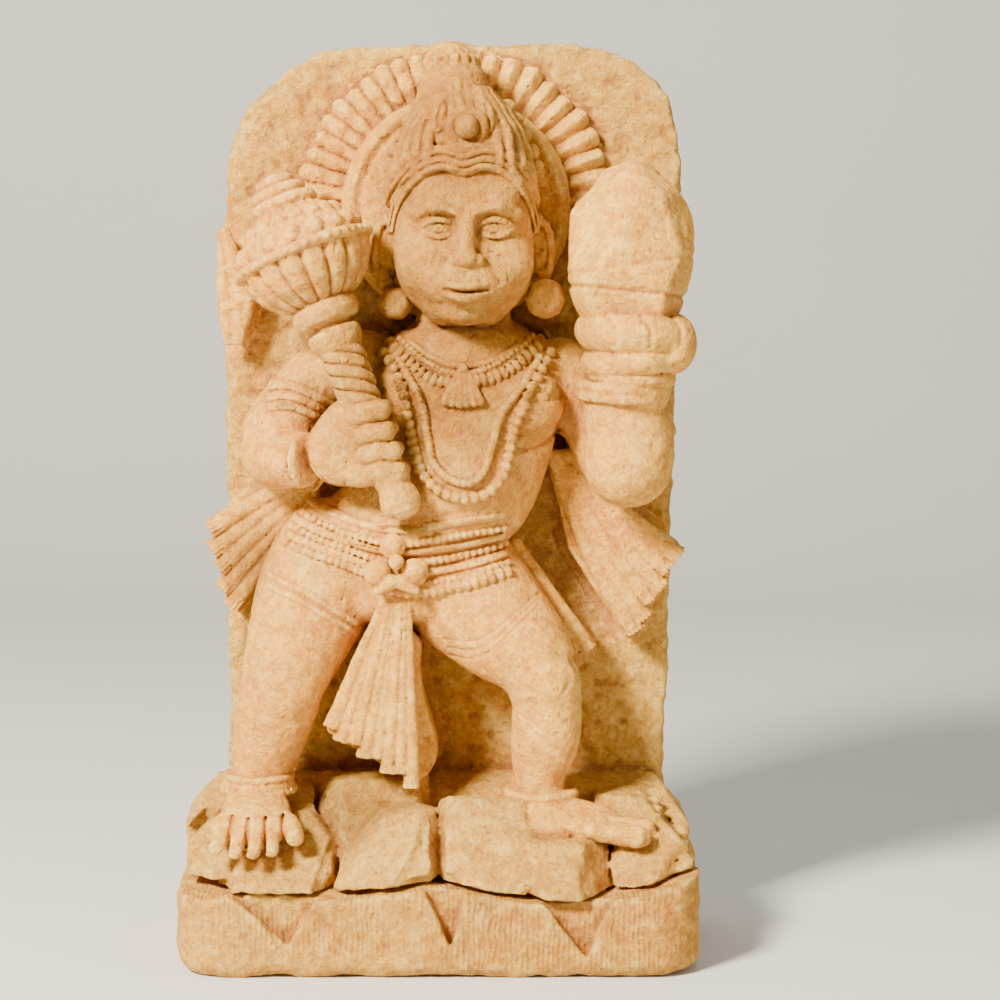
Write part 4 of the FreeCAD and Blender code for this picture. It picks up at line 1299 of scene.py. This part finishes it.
def stone(name, base, second, pale, stains=0.25, relief=1.0, tooled=0.0, stain_and_hollow_shade=0.9, wear=0.8):
    """Weathered sandstone: mottled, brown in patches, pale on worn edges, gritty, with painted shade in
    recesses.
    """
    s = Shader(name)
    colour = s.mix(s.ramp(s.noise(9, 5), 0.38, 0.66), base, second)
    colour = s.mix(s.times(s.ramp(s.noise(46, 5, 0.7), 0.45, 0.75), 0.5), colour, pale)
    rusty = s.ramp(s.noise(16, 6, 0.7, (1, 1, 1), (7, 2, 1)), 0.50, 0.72)
    colour = s.mix(s.times(rusty, stain_and_hollow_shade * 0.7), colour, RUST_AND_RECESS_SHADE)
    # Painted shade and bounced light: surfaces deep among the stone turn a mottled orange instead of their
    # own colour.
    shaded = s.mix(s.noise(30, 5), SHADED, RUST_AND_RECESS_SHADE)
    colour = s.mix(s.ramp(s.attribute("shelter"), 0.6, 4.2, 0.0, 0.7), colour, shaded)
    # Painted shade: broad hollows darken towards a deep orange-brown.
    colour = s.mix(s.ramp(s.attribute("hollow"), 0.0, 2.4, 0.0, stain_and_hollow_shade), colour, HOLLOW_SHADE)
    worn = s.times(s.ramp(s.attribute("edge"), 0.05, 0.5), s.ramp(s.noise(60, 4), 0.40, 0.62, 0.08, 1.0))
    colour = s.mix(s.times(worn, wear), colour, pale)
    mossy = s.ramp(s.noise(12, 6, 0.7, (1, 1, 0.5), (3, 1, 2)), 0.54, 0.72)
    colour = s.mix(s.times(mossy, stains), colour, LICHEN)
    # Painted shade: narrow creases and crevices darken towards the same deep orange-brown.
    colour = s.mix(s.ramp(s.attribute("edge"), -0.06, -0.6, 0.0, 0.85), colour, HOLLOW_SHADE)
    colour = s.mix(s.ramp(s.noise(120, 7, 0.78), 0.62, 0.40, 0.0, 0.8), colour, GRIT, "MULTIPLY")
    colour = s.mix(s.times(s.ramp(s.noise(330, 4, 0.7), 0.55, 0.70), 0.5), colour, SOOT)
    glints = s.ramp(s.noise(520, 3, 0.7, (1, 1, 1), (5, 0, 0)), 0.54, 0.70)
    colour = s.mix(s.times(glints, 0.22), colour, GLINT)
    # The colour darkens towards brown round each of the listed spots.
    for spot, inner, outer in DARK_SPOTS:
        colour = s.mix(s.ramp(s.away(spot / MM), inner, outer, 0.72, 0.0), colour, BROWN, "MULTIPLY")
    s.set(s.surface.inputs["Base Color"], colour)
    s.set(s.surface.inputs["Roughness"], s.ramp(s.noise(150, 4), 0.3, 0.7, 0.70, 0.95))
    s.surface.inputs["Specular IOR Level"].default_value = 0.3
    normal = s.bump(s.noise(820, 3, 0.7), 0.0007, 0.9 * relief)
    normal = s.bump(s.noise(230, 6, 0.7), 0.0030, 0.8 * relief, normal)
    normal = s.bump(s.noise(60, 6, 0.65), 0.0050, 0.5 * relief, normal)
    if tooled:
        lines = s.node("ShaderNodeTexWave", {"bands_direction": "X"}, Vector=s.place, Scale=92.0,
                       Distortion=7.0, Detail=4.0, Detail_Scale=0.6)
        height = s.times(lines.outputs["Fac"], s.ramp(s.noise(14, 5, 0.6, (1, 1, 2)), 0.40, 0.62))
        normal = s.bump(height, 0.0016, tooled, normal)
    s.set(s.surface.inputs["Normal"], normal)
    return s.material


def steel(name):
    """Dull drawn steel."""
    s = Shader(name)
    s.set(s.surface.inputs["Base Color"], s.mix(s.noise(80), (0.30, 0.29, 0.28), (0.16, 0.13, 0.11)))
    s.set(s.surface.inputs["Roughness"], s.ramp(s.noise(200), 0.3, 0.7, 0.35, 0.6))
    s.surface.inputs["Metallic"].default_value = 1.0
    return s.material


MATERIALS = {
    "carved_stone": stone("carved_sandstone", SAND, TAN, PALE, relief=1.1),
    "slab_stone": stone("slab_sandstone", (0.97, 0.55, 0.08), (0.90, 0.43, 0.045), PALE,
                        stains=0.15, relief=1.9, stain_and_hollow_shade=0.4, wear=0.5),
    "ledge_stone": stone("ledge_sandstone", (0.96, 0.57, 0.10), (0.86, 0.43, 0.05), PALE,
                         stains=0.35, relief=1.8, stain_and_hollow_shade=0.7),
    "plinth_stone": stone("plinth_sandstone", (0.92, 0.51, 0.07), (0.80, 0.38, 0.04), PALE,
                          stains=0.4, relief=1.7, tooled=0.5, stain_and_hollow_shade=0.7, wear=0.6),
    "mortar": stone("dark_mortar", (0.14, 0.06, 0.025), (0.08, 0.035, 0.018), (0.24, 0.13, 0.06),
                    stains=0.3, relief=1.2),
    "dowel_steel": steel("dowel_steel"),
}


# ---------------- build
HEAD = ["head", "headband", "crown_cap", "crown_drum", "crown_finial", "crown_jewel", "right_ear", "left_ear",
        "right_earring", "left_earring", "neck"]
HALO = ["halo_disc", "pleated_halo"]
UPPER = ["torso", "right_upper_arm", "right_forearm", "right_hand", "left_upper_arm", "left_forearm",
         "left_hand", "held_rock", "long_garland", "short_necklace", "pendant", "right_armlet",
         "right_bracelet", "left_bracelet", "mace_shaft", "mace_head", "mace_collar", "mace_finial",
         "mace_pommel", "tail_tip"]
LOWER = ["hips", "girdle", "girdle_rosettes", "front_apron", "right_thigh", "left_thigh", "right_shin",
         "left_shin", "right_foot", "left_foot", "right_anklet", "left_anklet", "right_sash", "left_sash",
         "sash_end"]
ZONES = ((HEAD, 0.6, make_block, "carved_stone"), (HALO, 0.85, make_block, "carved_stone"),
         (UPPER, 0.85, make_block, "carved_stone"), (LOWER, 0.85, make_block, "carved_stone"),
         (ROCKS, 1.1, make_block, "ledge_stone"), (["back_slab"], 1.9, make_block, "slab_stone"),
         (["plinth"], 1.4, make_plinth, "plinth_stone"), (["bedding_mortar"], 0.9, make_mortar, "mortar"))

for nodes, step, make, slot in ZONES:
    zone = Zone(nodes, step, make)
    for node in nodes:
        add_piece(zone, node, slot)


def add_dowels():
    """The two steel pins inside the stone, as bevelled round bars."""
    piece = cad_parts["dowel_pins"].copy()
    piece.data = piece.data.copy()
    piece.name = "dowel_pins_steel"
    for key in list(piece.keys()):
        del piece[key]
    bpy.context.scene.collection.objects.link(piece)
    piece.data.materials.clear()
    piece.data.materials.append(MATERIALS["dowel_steel"])
    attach(piece, "root")
    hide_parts("dowel_pins")


add_dowels()


# ---------------- floor, light and camera
def add_floor():
    """A pale sheet that runs back and curves up behind."""
    front_edge, bend, radius, height, half, steps = -4.0, 1.6, 0.9, 3.2, 5.0, 24
    profile = [(front_edge, 0.0)] + [(bend + radius * math.sin(t), radius * (1 - math.cos(t)))
                                     for t in np.linspace(0, math.pi / 2, steps)] + [(bend + radius, height)]
    points = [(x, y, z) for y, z in profile for x in (-half, half)]
    faces = [(2 * i, 2 * i + 1, 2 * i + 3, 2 * i + 2) for i in range(len(profile) - 1)]
    mesh = bpy.data.meshes.new("floor")
    mesh.from_pydata(points, [], faces)
    mesh.shade_smooth()
    s = Shader("floor_paper")
    s.set(s.surface.inputs["Base Color"], s.mix(s.noise(3), (0.62, 0.615, 0.60), (0.66, 0.65, 0.635)))
    s.set(s.surface.inputs["Roughness"], s.ramp(s.noise(8), 0.3, 0.7, 0.75, 0.9))
    mesh.materials.append(s.material)
    floor = bpy.data.objects.new("floor", mesh)
    bpy.context.scene.collection.objects.link(floor)


def look(obj, target):
    """Turns a lamp to face a point."""
    obj.rotation_euler = (Vector(target) - obj.location).to_track_quat("-Z", "Y").to_euler()


def add_light(name, place, target, size, power, colour):
    """A soft rectangular lamp; power is in watts."""
    light = bpy.data.objects.new(name, bpy.data.lights.new(name, "AREA"))
    light.data.shape = "RECTANGLE"
    light.data.size, light.data.size_y = size
    light.data.energy = power
    light.data.color = colour
    light.location = place
    look(light, target)
    bpy.context.scene.collection.objects.link(light)


def add_camera():
    """Straight in front, six degrees above level."""
    pitch, distance, focal = math.radians(6), 1.9, 2.871
    middle = (LOW[2] + HIGH[2]) / 2 / MM
    camera = bpy.data.objects.new("camera", bpy.data.cameras.new("camera"))
    camera.location = (0, -distance * math.cos(pitch), middle + distance * math.sin(pitch))
    camera.rotation_euler = (math.pi / 2 - pitch, 0, 0)
    camera.data.sensor_width = 36
    camera.data.lens = camera.data.sensor_width * focal
    camera.data.shift_x = 0.062
    bpy.context.scene.collection.objects.link(camera)
    bpy.context.scene.camera = camera


def add_world():
    """A weak even light from all round."""
    world = bpy.data.worlds.new("studio")
    world.use_nodes = True
    world.node_tree.nodes["Background"].inputs[0].default_value = (0.95, 0.97, 1.0, 1)
    world.node_tree.nodes["Background"].inputs[1].default_value = 0.2
    bpy.context.scene.world = world


chest = tuple(at("torso") / MM)
add_floor()
add_light("key", (-1.35, -1.75, 1.8), chest, (0.55, 0.55), 310, (1.0, 0.91, 0.72))
add_light("fill", (1.8, -1.6, 0.9), chest, (1.6, 1.6), 22, (1.0, 0.90, 0.74))
add_light("top", (0.1, 0.2, 2.3), chest, (1.2, 0.8), 18, (1.0, 0.97, 0.92))
add_world()
add_camera()
